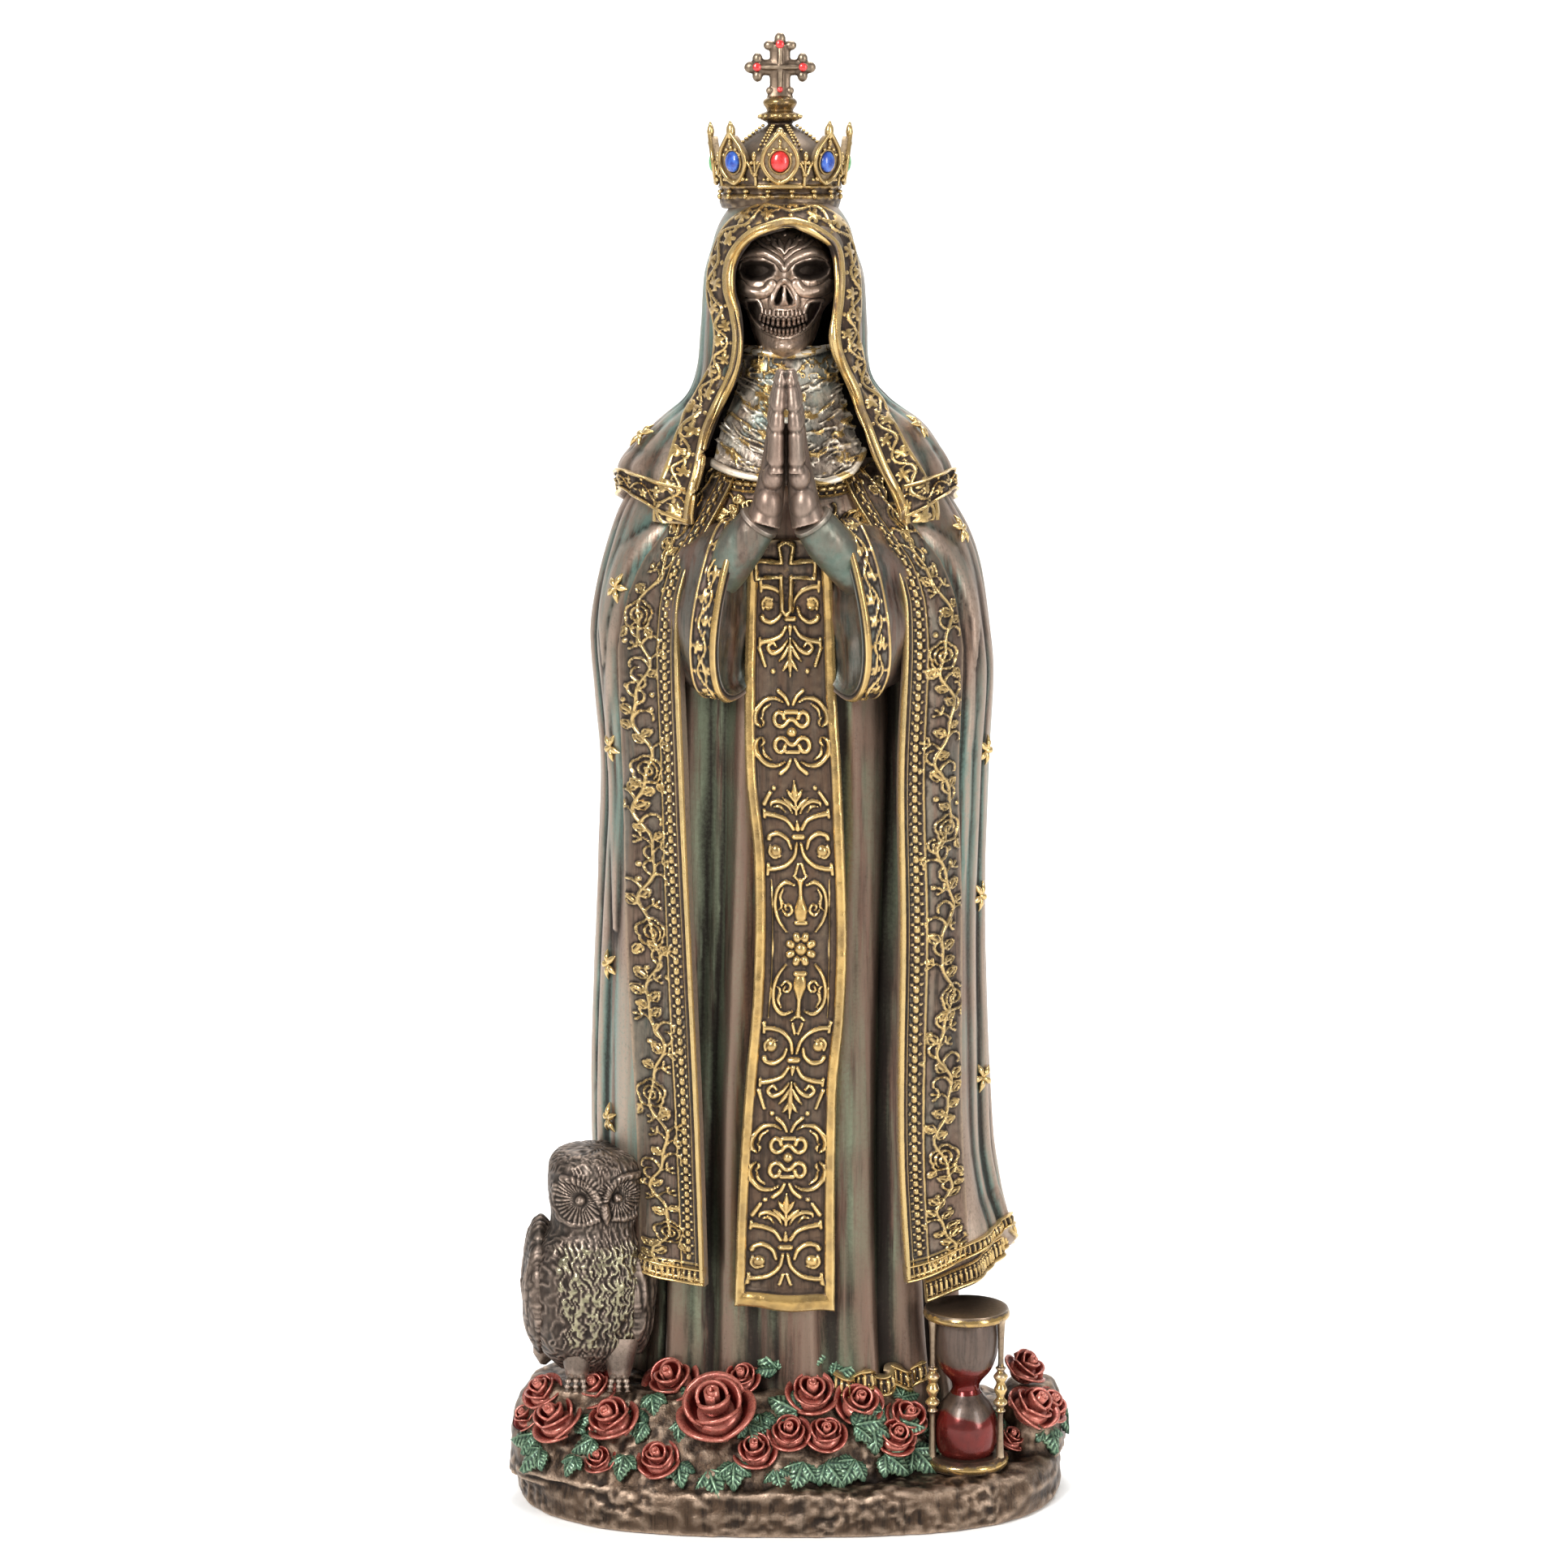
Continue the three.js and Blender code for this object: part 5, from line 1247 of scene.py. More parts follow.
# %% [markdown]
# ## Collar and bib
# A crumpled cloth fills the neck of the hood. Its folds hang in shallow curves from shoulder to
# shoulder, so the relief follows a height that drops towards the middle. The lower edge is rolled.

# %% Collar and bib
bib_left = through([209, 15.6], [214, 15.2], [222, 13.4], [230, 10.3], [238, 9])
bib_right = through([209, 16.6], [214, 16], [222, 12.8], [230, 10.3], [238, 8.8])
bib_front = through([209, -24.6], [213, -23.6], [216, -22.3], [224, -18.5], [230, -14.6], [238, -12])
bib_hem = through([-15.6, 214.4], [-14.2, 213.8], [-11.1, 212.8], [-6.2, 211.9], [4, 211.4], [6.5, 211.0],
                  [12.5, 212.8], [15.3, 215.3], [16.6, 216.5])
rise, share = grid(np.linspace(0, 1, 150), np.linspace(0, 1, 170))
foot = bib_hem(-15.4 + 32 * share)
z = foot + (238 - foot) * rise
x = -bib_left(z) + (bib_left(z) + bib_right(z)) * share
y = bib_front(z) + 5 * np.abs(2 * share - 1) ** 3.2
sling = z - 0.5 * np.abs(x + 0.6) + 0.35 * np.sin(x / 2.2)
fold = 0.65 - 1.6 * np.abs(lumps(stacked(x, sling, 0 * x), (6.5, 2.3, 1), 61))
crease = 0.5 - 1.5 * np.abs(lumps(stacked(x + sling, sling, 0 * x), (2.1, 1.0, 1), 62))
leafy = 0.5 - 1.6 * np.abs(lumps(stacked(x, z, 0 * x), (0.9, 0.9, 1), 63))
high = np.where(z > 231.5, 0.65 * leafy + 0.5 * fold, 0.9 * fold + 0.8 * crease + 0.22 * leafy)
roll = rounded(z - foot - 0.75, 0.85)
high = high * unit(z - foot - 1.2) + roll
neck = rounded(z - 236.2 - 0.02 * (x + 1) ** 2, 0.8)
high = np.maximum(high, 1.1 * neck)
patch = lumps(stacked(x + sling, z, 0 * x), (2.2, 1.7, 1), 64)
gold = unit(0.12 + 1.1 * patch + 0.8 * fold + 0.4 * leafy) * np.where(neck > 0.1, 0.2, 1)
gold = np.where(z > 231.5, unit(gold + 0.3 + leafy), unit(gold + (0.35 + 0.8 * patch) * roll))
face = stacked(x, y, z)
bib_cloth = laid_band(face, high, gold, 2.0)

# %% The embroidered yoke between the bib and the sleeves
pick = np.random.default_rng(17)
yokes = []
for side in (-1, 1):
    lines = bead_row(0.8, 24, 1.6, 1.7) + [([(3.0, 0), (3.0, 26)], 0.24, 0.5),
                                           ([(0.4, 0), (0.4, 26)], 0.24, 0.5)]
    for at in np.arange(0.5, 25, 1.25):
        a = pick.uniform(4.2, 11.5)
        heading = pick.uniform(0, 360)
        lines.append(curl((a, at), heading, 4.2, 0.3 * side, 0.55 * side, 0.36))
        lines += leaf_motif(a + 0.6, at + 0.8, heading + 150, 0.85)
        lines += leaf_motif(pick.uniform(4.5, 12), at, pick.uniform(0, 360), 0.8)
    along, across = grid(np.linspace(0, 17, 110), np.linspace(0, 14, 84))
    x = side * (4.0 + 0.98 * along)
    z = bib_hem(x) + 1.0 - across - 0.12 * along
    high = raised(across, along, lines) * unit((13.6 - across) / 0.5)
    face = mantle_spots(angle_of(x, mantle_left(z), mantle_right(z)), z) + [0, 1.2, 0]
    face[..., 2] = z
    chest = AXIS - tunic_front(z) * unit(1 - (x / tunic_half(z)) ** 2) ** 0.5 - 0.8
    face[..., 1] = np.minimum(face[..., 1], chest)
    if side < 0:
        face, high = face[::-1], high[::-1]
    yokes.append(laid_band(face, 0.2 + high, unit(high / 0.3), 2.0))
piece("bib", [bib_cloth], bib_paint, "figure", reach=(0.08, 0.35, 0.8), rounds=(2, 9, 40))
piece("yoke", yokes, border_paint, "figure", reach=(0.08, 0.35), rounds=(2, 7))

# %% [markdown]
# ## Sleeves, forearms and hands
# Each wide sleeve is a shell with an oval mouth that hangs like a sail. Its rings are placed along the
# heading of the arm, out to the mouth and back in again. A tight undersleeve comes out of it, and the
# hands are tubes and balls fused by a voxel remesh, as soft wax would be.

# %% Sleeves
def arm_heading(side):
    return np.array([-side * 0.78, -0.61, -0.12])


def sleeve_ring(side, back, half, tall, drop, turn):
    heading = direction(arm_heading(side))
    wide = direction(np.cross((0, 0, 1), heading))
    up = np.cross(heading, wide)
    mouth_place = np.array([10.5 if side > 0 else -10, -26.5, 184])
    half = half * np.where(side * np.cos(turn) < 0, 1.35, 1)
    around_it = (half * (1 - 0.22 * np.sin(turn)) * np.cos(turn))[..., None] * wide
    rise = (tall * np.sin(turn) + drop)[..., None] * up
    return mouth_place - back[..., None] * heading + around_it + rise


sleeve_rows = smooth([(20, 4, 10, 1), (12, 6.5, 15, 1.6), (6, 7.4, 17.4, 2.2), (3, 7.2, 17.5, 2.4),
                      (0.5, 6.8, 17.1, 2.4), (-0.5, 6.3, 16.6, 2.4), (0.0, 5.7, 16.0, 2.3),
                      (0.9, 5.2, 15.2, 2.2), (1.5, 4.3, 13.6, 2), (1.7, 2.6, 9.6, 1.5),
                      (1.7, 0.2, 1.0, 1)], 132)
for side, name in ((-1, "left"), (1, "right")):
    turn = all_round(150)[None, :]
    back, half, tall, drop = (sleeve_rows[:, k:k + 1] + 0 * turn for k in range(4))
    spots = sleeve_ring(side, back, half, tall, drop, turn + 0 * back)
    row = np.arange(len(sleeve_rows))[:, None]
    outside = row < 60
    inside = unit((row - 72) / 20)
    along = walked(spots[50])[None, :] + 0 * back
    high = np.where(outside, raised(back, along, leafy_wave(along.max(), 2.7, 0.95, 4.9, 20 + side)), 0)
    rim = 0.95 * rounded(back - 0.2, 0.75)
    line = 0.5 * rounded(back - 5.0, 0.3)
    high = np.where(outside, np.maximum(high, np.maximum(rim, line)), 0)
    band = outside & (back < 5.2)
    near = unit(0.5 + 2.2 * side * np.cos(turn))
    gold = np.where(band | (back < 1.2), np.clip(high / 0.3, 0.12, 1), 0) * near
    rim = rim * (0.35 + 0.65 * near)
    high = np.where(outside, np.maximum(high * near, rim), 0)
    folds = 0.5 * np.cos(7 * turn + back / 5) * unit((back - 5) / 8) + 0.2 * lumps(spots, (3, 3, 10), 71)
    lining = -0.8 * inside * (0.6 * lumps(spots, (2.4, 9, 8), 72) + 0.25 * lumps(spots, (1.4, 3, 2.4), 73)
                              + 0.25)
    high = high + np.where(band, 0.45, 0) + np.where(outside, folds, 0)
    normal = outward(spots)
    off_axis = spots - spots.mean(axis=1, keepdims=True)
    normal *= np.sign(np.einsum("...i,...i->...", normal, off_axis))[..., None]
    spots = spots + normal * high[..., None] * outside[..., None] - arm_heading(side) * lining[..., None]
    piece(f"sleeve_{name}", [ring(spots, gold)], sleeve_paint, "figure", reach=(0.09, 0.5, 0.8),
          rounds=(2, 10, 40))

# %% Undersleeves, with a rim at the wrist
for side, name in ((-1, "left"), (1, "right")):
    path = smooth([(side * 17, -21, 189), (side * 12.6, -26, 194.5), (side * 8.4 - 0.6, -29.6, 200.5),
                   (side * 5.0 - 0.6, -31.2, 205.0)], 90)
    rise = np.linspace(0, 1, 90)
    girth = np.interp(rise, [0, 0.33, 0.66, 0.94, 0.955, 1], [3.6, 4.3, 4.6, 4.05, 4.3, 4.1])
    cloth = tube(path, girth, 72, lay=(0, -1, 0.4))
    places = read(cloth.vertices, "co", 3)
    places[:, 1] += 0.3 * lumps(places, (4, 4, 3), 81) + 0.08 * lumps(places, (1.2, 1.2, 1.2), 82)
    cloth.vertices.foreach_set("co", places.ravel())
    piece(f"undersleeve_{name}", [cloth], undersleeve_paint, "figure", reach=(0.3, 1.6, 0.9),
          rounds=(3, 12, 60))

# %% Hands
HAND_MIDDLE = -0.6


def hand(side):
    def place(out, y, z):
        return (HAND_MIDDLE + side * out, y, z)

    wax = [ball(place(3.5, -32.0, 208.2), (2.7, 2.9, 3.8), 4),
           ball(place(2.6, -33.0, 213.6), (2.1, 2.5, 2.6), 4),
           tube([place(4.6, -31.3, 204.2), place(3.6, -31, 208), place(2.4, -30.4, 216),
                 place(1.7, -30.2, 224)],
                [3.5, 3.1, 2.4, 1.9], 32)]
    for row in range(4):
        wide = 0.42 * row - 0.05 * row * row
        tip = (0, 0.35, 0.2, -1.3)[row]
        path = smooth([
            place(2.0 + wide, -34.6 + 2.1 * row, 214.5), place(1.8 + wide, -35.3 + 2.15 * row, 221.5),
            place(1.35 + wide, -35.0 + 2.1 * row, 228),
            place(0.78 + 0.6 * wide, -33.4 + 1.7 * row, 234.1 + tip)], 90)
        height = path[:, 2]
        girth = np.interp(height, [214, 221, 228, 232.5, 234.6 + tip], [1.5, 1.36, 1.18, 1.0, 0.5])
        for joint in (215.8, 222.5, 226.3, 231.1):
            girth = girth * (1 - 0.2 * np.exp(-((height - joint - 0.4 * row) / 0.42) ** 2))
            girth = girth * (1 + 0.06 * np.exp(-((height - joint - 0.4 * row - 1.3) / 0.8) ** 2))
        wax.append(tube(path, girth, 24))
    wax.append(ball(place(0.95, -34.5, 232.7), (0.5, 0.4, 1.25), 3))
    wax.append(tube([place(2.6, -28.6, 208), place(1.9, -26.6, 214), place(1.2, -26.2, 219)],
                    [1.7, 1.5, 1.1], 20))
    return wax


piece("hands", hand(-1) + hand(1), hand_paint, "figure", reach=(0.07, 0.35), rounds=(2, 8),
      remesh=0.25)

# %% [markdown]
# ## The rock
# The figure stands on a low rock with rounded corners, and banks of rock rise under the owl and the
# roses. Their grids follow the solids, and then every point moves out or in with seeded lumps of three
# sizes. The smallest are pits, which the wash fills with dark paint. A voxel remesh fuses the banks.

# %% Rock and banks
GROUND_HALF = np.array([57.5, 40.0])
GROUND_TOP = 9.5


def spot(x, y, z):
    return np.array([x * GROUND_HALF[0] / 100, y * GROUND_HALF[1] / 100, GROUND_TOP + z])


def rocky(spots, pits=1.0):
    normal = outward(spots)
    ridged = 0.5 - np.abs(lumps(spots, (6.5, 6.5, 3.4), 91))
    rough = unit(lumps(spots, (8, 8, 6), 95) + 0.3)
    pitted = np.clip(np.abs(lumps(spots, (1.6, 1.6, 1.3), 92)) - 0.25, 0, 0.4) * 2.4
    height = 0.8 * ridged + 0.35 * lumps(spots, (2.6, 2.6, 1.9), 93) - 0.8 * pits * pitted * rough
    height += (0.06 + 0.4 * rough) * lumps(spots, (1.1, 1.1, 0.9), 94)
    return spots + normal * height[..., None]


round_it = all_round(520)[None, :]
rows = smooth([(0.2, 0.96), (0.15, 0.985), (1.6, 0.99), (4.5, 0.992), (7.2, 0.985), (8.9, 0.965),
               (9.6, 0.91), (9.7, 0.8), (9.6, 0.5), (9.5, 0.1)], 70)
c, s = np.cos(round_it), np.sin(round_it)
x = GROUND_HALF[0] * rows[:, 1:] * np.sign(c) * np.abs(c) ** 0.72
y = GROUND_HALF[1] * rows[:, 1:] * np.sign(s) * np.abs(s) ** 0.72
slab = stacked(x, y, rows[:, :1] + 0 * x)
calm = unit(slab[..., 2:] / 1.2)
inner = unit((rows[:, 1] - 0.4) / 0.3)[:, None, None]
slab = slab + (rocky(slab) - slab) * calm * inner * np.array([0.85, 0.85, 1])
slab[..., 0] = np.clip(slab[..., 0], -57.6, 57.6)
slab[..., 1] = np.clip(slab[..., 1], -40.2, 39.9)
rocks = [ring(slab)]
for place, turns, stations in (
        ((-71.5, -36, 0), 200,
         [(-3, 17, 14), (6.8, 16, 13), (13.6, 14, 11.5), (16.6, 11.5, 10), (17, 6, 5), (17, 0.5, 0.5)]),
        ((-22, -46, 0), 420,
         [(-1, 44, 19.3), (7, 41, 14.6), (13.5, 36, 9.4), (15.8, 32, 7), (16, 15, 3), (16, 1, 0.5)]),
        ((88, -12, 0), 120, [(-1, 7.5, 12), (8, 6.5, 9.5), (12, 4.5, 6), (13, 2, 3), (13, 0.4, 0.5)])):
    bank = smooth(stations, 44)
    round_it = all_round(turns)[None, :]
    middle = spot(*place)
    x = middle[0] + bank[:, 1:2] * np.cos(round_it)
    y = middle[1] + bank[:, 2:] * np.sin(round_it)
    heap = stacked(x, y, middle[2] + bank[:, :1] + 0 * x)
    rocks.append(ring(rocky(heap, 0.6)))
piece("rock", rocks, rock_paint, "figure", reach=(0.15, 1.1, 1.2), rounds=(2, 9, 40), remesh=0.56)

# %% [markdown]
# ## Roses and leaves
# Each rose is a ball of cupped petals: three wide ones outside, three inside them, and a spiral bud in
# the middle. A petal is a thin shell that rises like the wall of a bowl, with its rim arched and rolled
# out. All of it is built standing up, then leaned towards the viewer and set in its place. The leaves
# are serrated plates with a midrib and side veins. They lie on the slope in clusters of three.

# %% One petal as a thin shell
def petal(way, spread, belly, mouth, foot, top, roll, thick=0.09):
    across = np.linspace(-1, 1, 15)[None, :]
    up = np.linspace(0, 1, 11)[:, None]
    angle = way + spread * across * np.sin(unit(0.3 + 0.7 * up) * math.pi / 2)
    arch = 1 - 0.42 * np.abs(across) ** 2.6
    bowl = np.sin(unit(up * 1.2) * math.pi / 2) ** 0.8
    far = 0.12 + (belly - 0.12) * bowl + (mouth - belly) * unit(up - 0.55) / 0.45
    far = far + roll * unit(up - 0.8) * 5 * (1 - 0.5 * across ** 2) - 0.06 * across ** 4
    rise = foot + (top - foot) * up * arch - 0.35 * roll * unit(up - 0.9) * 10
    front = stacked(far * np.cos(angle), far * np.sin(angle), rise + 0 * angle)
    return np.concatenate([front, (front + outward(front) * thick)[:, ::-1]], axis=1)


def rose(seed):
    pick = np.random.default_rng(seed)
    parts = []
    start = pick.uniform(0, TURN)
    for count, spread, belly, mouth, foot, top, roll in (
            (3, 1.2, 0.84, 1.0, -0.6, 0.14, 0.13), (3, 1.2, 0.62, 0.7, -0.35, 0.46, 0.08),
            (2, 1.75, 0.42, 0.42, -0.1, 0.66, 0.04)):
        start += 1.05
        for i in range(count):
            way = start + TURN * i / count + pick.uniform(-0.15, 0.15)
            size = pick.uniform(0.95, 1.05)
            height = top + pick.uniform(-0.05, 0.05)
            parts.append(petal(way, spread, belly * size, mouth * size, foot, height, roll))
    turns = np.linspace(0, 3.0 * math.pi, 44)
    far = 0.05 + 0.15 * turns / turns[-1]
    rises = np.linspace(-0.3, 0, 4)[:, None]
    wall = stacked(far * np.cos(turns + start) + 0 * rises, far * np.sin(turns + start) + 0 * rises,
                   0.78 - 0.08 * turns / turns[-1] + 2 * rises)
    parts.append(np.concatenate([wall, (wall + outward(wall) * 0.07)[:, ::-1]], axis=1))
    bowl = smooth([(0.1, -0.75), (0.5, -0.66), (0.74, -0.3), (0.66, -0.05), (0.34, 0.02), (0.02, 0.03)], 14)
    round_it = all_round(22)[None, :]
    parts.append(stacked(bowl[:, :1] * np.cos(round_it), bowl[:, :1] * np.sin(round_it),
                         bowl[:, 1:] + 0 * round_it))
    return parts


def spun(spots, angle):
    c, s = math.cos(angle), math.sin(angle)
    return spots @ np.array([[c, s, 0], [-s, c, 0], [0, 0, 1]])


def leaned(spots, lean, heading, place):
    c, s = math.cos(lean), math.sin(lean)
    return spun(spots @ np.array([[c, 0, -s], [0, 1, 0], [s, 0, c]]), heading) + place


rose_places = [
    (-26, -77, 15, 7.2), (-42, -52, 17.5, 5.4), (-83, -66, 11.4, 5.1), (-63, -71, 12, 5.1),
    (-69, -57, 16.5, 4.2), (-88, -54, 15.6, 4.1), (-67, -80, 4.4, 3.1), (-46, -85, 5.4, 4.1),
    (-12, -84, 7, 4.1), (8, -64, 16.5, 4.9), (25, -64, 14.4, 4.6), (0, -78, 10, 4.1), (13, -76, 9.5, 4.1),
    (42, -59, 10.8, 4.3), (38, -69, 7.9, 4.1), (-17, -58, 19, 3.6), (86, -22, 16.5, 4.3),
    (88, -40, 10.5, 5.2), (94, -27, 9, 4.2), (80, -40, 3.6, 3), (-94, -50, 9.6, 3.1)]
ROSE_ROOM = [-57.9, -40.4, 0.3], [58.9, 40, 60]
flowers = []
pick_lean = np.random.default_rng(8)
for number, (x, y, z, radius) in enumerate(rose_places):
    heading = math.atan2(y - 40, 1.2 * x)
    for part in rose(number + 3):
        lean = math.radians(pick_lean.uniform(26, 46))
        flowers.append(ring(np.clip(leaned(part * radius, lean, heading, spot(x, y, z)), *ROSE_ROOM)))
piece("roses", flowers, rose_paint, "figure", reach=(0.09, 0.45), rounds=(1, 6), sharp=180)

# %% Leaves
leaf_places = [
    (7, -57, 22, 100), (-3, -57, 19.5, 150), (17, -55, 19, 50), (39, -50, 14, 60), (50, -57, 6, 0),
    (-92, -58, 7, 180), (-89, -66, 5.4, 230), (-77, -77, 4.4, 250), (-57, -83, 4.6, 280),
    (-51, -74, 11, 190), (-38, -87, 3.4, 265), (-29, -87, 3.8, 300), (-19, -88, 4.4, 250),
    (-6, -86, 4, 290), (4, -84, 4.6, 255), (14, -82, 4.4, 280), (24, -79, 4.8, 260), (33, -75, 4.6, 290),
    (45, -63, 4.8, 320), (22, -75, 10, 30), (-33, -68, 15, 120), (-75, -68, 9, 60), (92, -32, 5, 290),
    (99, -16, 6, 330), (79, -31, 7, 220), (-56, -66, 13, 300), (3, -72, 13, 180), (33, -63, 12.6, 200),
    (-62, -60, 15.5, 230), (-38, -74, 11.5, 250), (-10, -72, 13, 265), (-17, -66, 16, 200),
    (29, -70, 10.5, 300), (-70, -74, 7.5, 250), (-48, -62, 15.5, 280), (-14, -77, 10.5, 300),
    (40, -64, 9, 330), (-80, -58, 13.5, 200)]
along, across = grid(np.linspace(0, 1, 20), np.linspace(-1, 1, 13))
half = 1.9 * np.sin(np.clip(along, 0.01, 0.99) ** 0.8 * math.pi) ** 0.75 * (1 + 0.1 * np.cos(along * 34))
rib = 0.4 * np.exp(-(across / 0.12) ** 2) - 0.55 * across ** 2
veins = 0.2 * np.cos((along * 6.5 - 1.2 * np.abs(across)) * TURN) * unit(np.abs(across) * 4)
plate = stacked(along * 5.6, half * across, rib + veins - 2.0 * (along - 0.4) ** 2 + 0.4)
whole_leaf = np.concatenate([plate, plate[:, ::-1] - [0, 0, 0.6]], axis=1)
LEAF_ROOM = [-57.8, -40.4, 0.6], [58.8, 40, 60]
greens = []
pick = np.random.default_rng(12)
for x, y, z, heading in leaf_places:
    heading, grown = heading + pick.uniform(-30, 30), pick.uniform(0.8, 1.3)
    x, y, z = x + pick.uniform(-1.5, 1.5), y + pick.uniform(-1, 1), z + pick.uniform(-0.6, 1.4)
    for aside, size in ((0, grown), (52, 0.75 * grown), (-52, 0.75 * grown)):
        way = math.radians(heading + aside)
        c, s = math.cos(way), math.sin(way)
        tilt = np.array([[c, 0.66 * s, 0.75 * s], [-s, 0.66 * c, 0.75 * c], [0, -0.75, 0.66]])
        leaf = whole_leaf * size @ tilt
        place = spot(x, y, z) + [0, -0.25 * abs(aside) / 52, 0]
        greens.append(ring(np.clip(spun(leaf, 0.009 * x) + place, *LEAF_ROOM)))
piece("leaves", greens, leaf_paint, "figure", reach=(0.12, 0.7), rounds=(1, 5), sharp=180,
      keep=0.45)

# %% [markdown]
# ## The owl
# A small owl sits on the rock at the hem, its flat-topped head turned a little aside. Its body is one
# turned form with a squarish plan. The feathers are ticks of relief, larger and paler on the belly, and
# the face has two dished discs with fine rays around the eyes.

# %% Owl
OWL = spot(-71.5, -40, 17.3)
owl_half = through([2.5, 6.5], [7, 10.4], [13, 12], [22, 12.2], [29, 10.9], [32.5, 9.3], [36, 9.4],
                   [40, 10.1], [44, 10], [46.6, 9.2], [48.2, 6.6], [48.6, 1.5])
owl_deep = through([2.5, 6.2], [7, 9.6], [13, 11.4], [22, 12], [29, 10.6], [32.5, 9.2], [36, 9.3],
                   [40, 9.9], [44, 9.8], [46.6, 8.8], [48.2, 6.2], [48.6, 1.5])
owl_lean = through([0, 0], [22, 0], [37, 1.8], [48, 1.8])
heights = np.concatenate([np.linspace(2.6, 46.6, 196),
                          46.6 + 2 * np.sin(np.linspace(0.08, 1, 14) * TURN / 4)])
z, turn = grid(heights, np.linspace(-TURN * 0.75, TURN * 0.25, 240, endpoint=False))
c, s = np.cos(turn), np.sin(turn)
x = owl_lean(z) + owl_half(z) * np.sign(c) * np.abs(c) ** 0.86
y = owl_deep(z) * np.sign(s) * np.abs(s) ** 0.86
front = unit(-s * 3)
flat = stacked(x, z, 0 * x)
way_left, way_right = np.arctan2(z - 39.6, x + 1.4), np.arctan2(z - 40.0, x - 6.6)
far_left, far_right = np.hypot(x + 1.4, z - 39.6), np.hypot(x - 6.6, z - 40.0)
on_face = unit((z - 33.4) / 1.2) * unit(46.4 - z) * front
rays = np.zeros(x.shape)
for way, far, size in ((way_left, far_left, 5.6), (way_right, far_right, 4.6)):
    ring_mask = unit((far - 1.5) / 0.8) * unit((size - far) / 0.8)
    rays = np.where(ring_mask > 0, 0.2 * np.cos(way * 31 + 1.3 * np.sin(5 * way)) * ring_mask, rays)
dish = np.exp(-(far_left / 3.1) ** 2) + np.exp(-(far_right / 2.7) ** 2)
eyes = raised(x, z, [dot(-1.3, 39.5, 1.15, 1.5), dot(6.6, 39.9, 1.0, 1.4), dot(-1.3, 39.5, 0.55, 1.9),
                     dot(6.6, 39.9, 0.5, 1.8)])
brows = raised(x, z, [(smooth([(-4.6, 43.9), (-2.0, 43.6), (0.6, 42.2), (2.6, 39.6), (3.4, 38.0)], 24),
                       0.85, 0.8), (smooth([
    (10.2, 44.2), (7.6, 44.2), (5.6, 42.8), (4.3, 40.2), (3.7, 38.0)], 24), 0.8, 0.8)])
beak = raised(x, z, [([(3.8, 38.6), (4.0, 36.6), (4.1, 34.9)], [0.9, 0.95, 0.35], 1.9)])
rims = raised(x, z, [(smooth([(-6.4, 42), (-7.2, 38.4), (-5.4, 35), (-1.2, 34.2), (2.6, 35.6)], 24), 0.6,
                      0.5), (smooth([
    (11.4, 42), (11.6, 38), (9.4, 35.4), (5.6, 35.6)], 24), 0.6, 0.5)])
ticks = 0.25 * (0.5 - 1.6 * np.abs(lumps(stacked(x + y, z, y), (0.62, 1.9, 0.9), 101)))
wavy = stacked(x + 0.4 * np.sin(z * 1.7), z, y)
squiggle = 0.36 * (0.5 - 1.8 * np.abs(lumps(wavy, (0.62, 1.7, 1.6), 102)))
belly = unit((31.5 - z + 0.8 * lumps(flat, (2, 2, 1), 103)) / 2.5) * unit((z - 7.5) / 2)
belly = belly * unit((x + 6.4 + 0.12 * (z - 20)) / 1.5) * unit(-s * 2.6 + 0.6)
high = ticks * (1 - 0.8 * on_face * (far_left < 5.6)) + belly * squiggle + rays
high = high + on_face * (-dish + rims * 0.8) + np.maximum(eyes, np.maximum(brows, beak)) * on_face
dark = on_face * (np.exp(-((far_left - 1.3) / 0.5) ** 2) + np.exp(-((far_right - 1.2) / 0.45) ** 2)) * 0.7
body = stacked(x, y, z)
body = body + outward(body) * high[..., None]
gold = unit(belly * (0.45 + 1.5 * squiggle)) - dark
feathers = [ring(body + OWL, gold)]
for side in (-1, 1):
    rows, turns = grid(np.linspace(0.02, math.pi - 0.02, 110), all_round(90))
    wing = stacked(3.9 * np.sin(rows) * np.cos(turns),
                   8.6 * np.sin(rows) * np.sin(turns) - 1.2 * np.cos(rows),
                   -14.2 * np.cos(rows))
    plume = 0.55 * (0.5 - 1.5 * np.abs(lumps(wing, (9, 1.5, 7.5), 110 + side)))
    fine = 0.16 * (0.5 - 1.5 * np.abs(lumps(wing, (2, 0.6, 1.1), 112)))
    wing = wing - outward(wing) * (plume + fine)[..., None]
    feathers.append(ring(wing + OWL + [side * 10.0, 0.2, 19.4]))
    thigh = smooth([(side * 4.3 + 2.2, -5.4, 9.5), (side * 4.3 + 2.1, -6.4, 5.4),
                    (side * 4.4 + 2.0, -7.0, 1.9)], 26)
    feathers.append(tube(thigh + OWL, np.linspace(4.0, 2.2, 26), 40))
    for toe in (-1, 0, 1):
        foot = smooth([(side * 4.4 + 2 + toe * 0.9, -7.6, 2.6), (side * 4.4 + 2 + toe * 1.5, -9.9, 1.7),
                       (side * 4.4 + 2 + toe * 1.8, -10.8, -0.2)], 16) + OWL
        girth = 0.75 + 0.16 * np.cos(np.linspace(0, 4 * TURN, 16)) - np.linspace(0, 0.3, 16)
        feathers.append(tube(foot, girth, 10))
tail = smooth([(-7.6, 3.5, 14), (-8.8, 3.4, 8), (-9.9, 3.2, 1.2)], 40)
girth = np.interp(np.linspace(0, 1, 40), [0, 0.5, 0.85, 1], [3.4, 3.3, 2.4, 0.7])
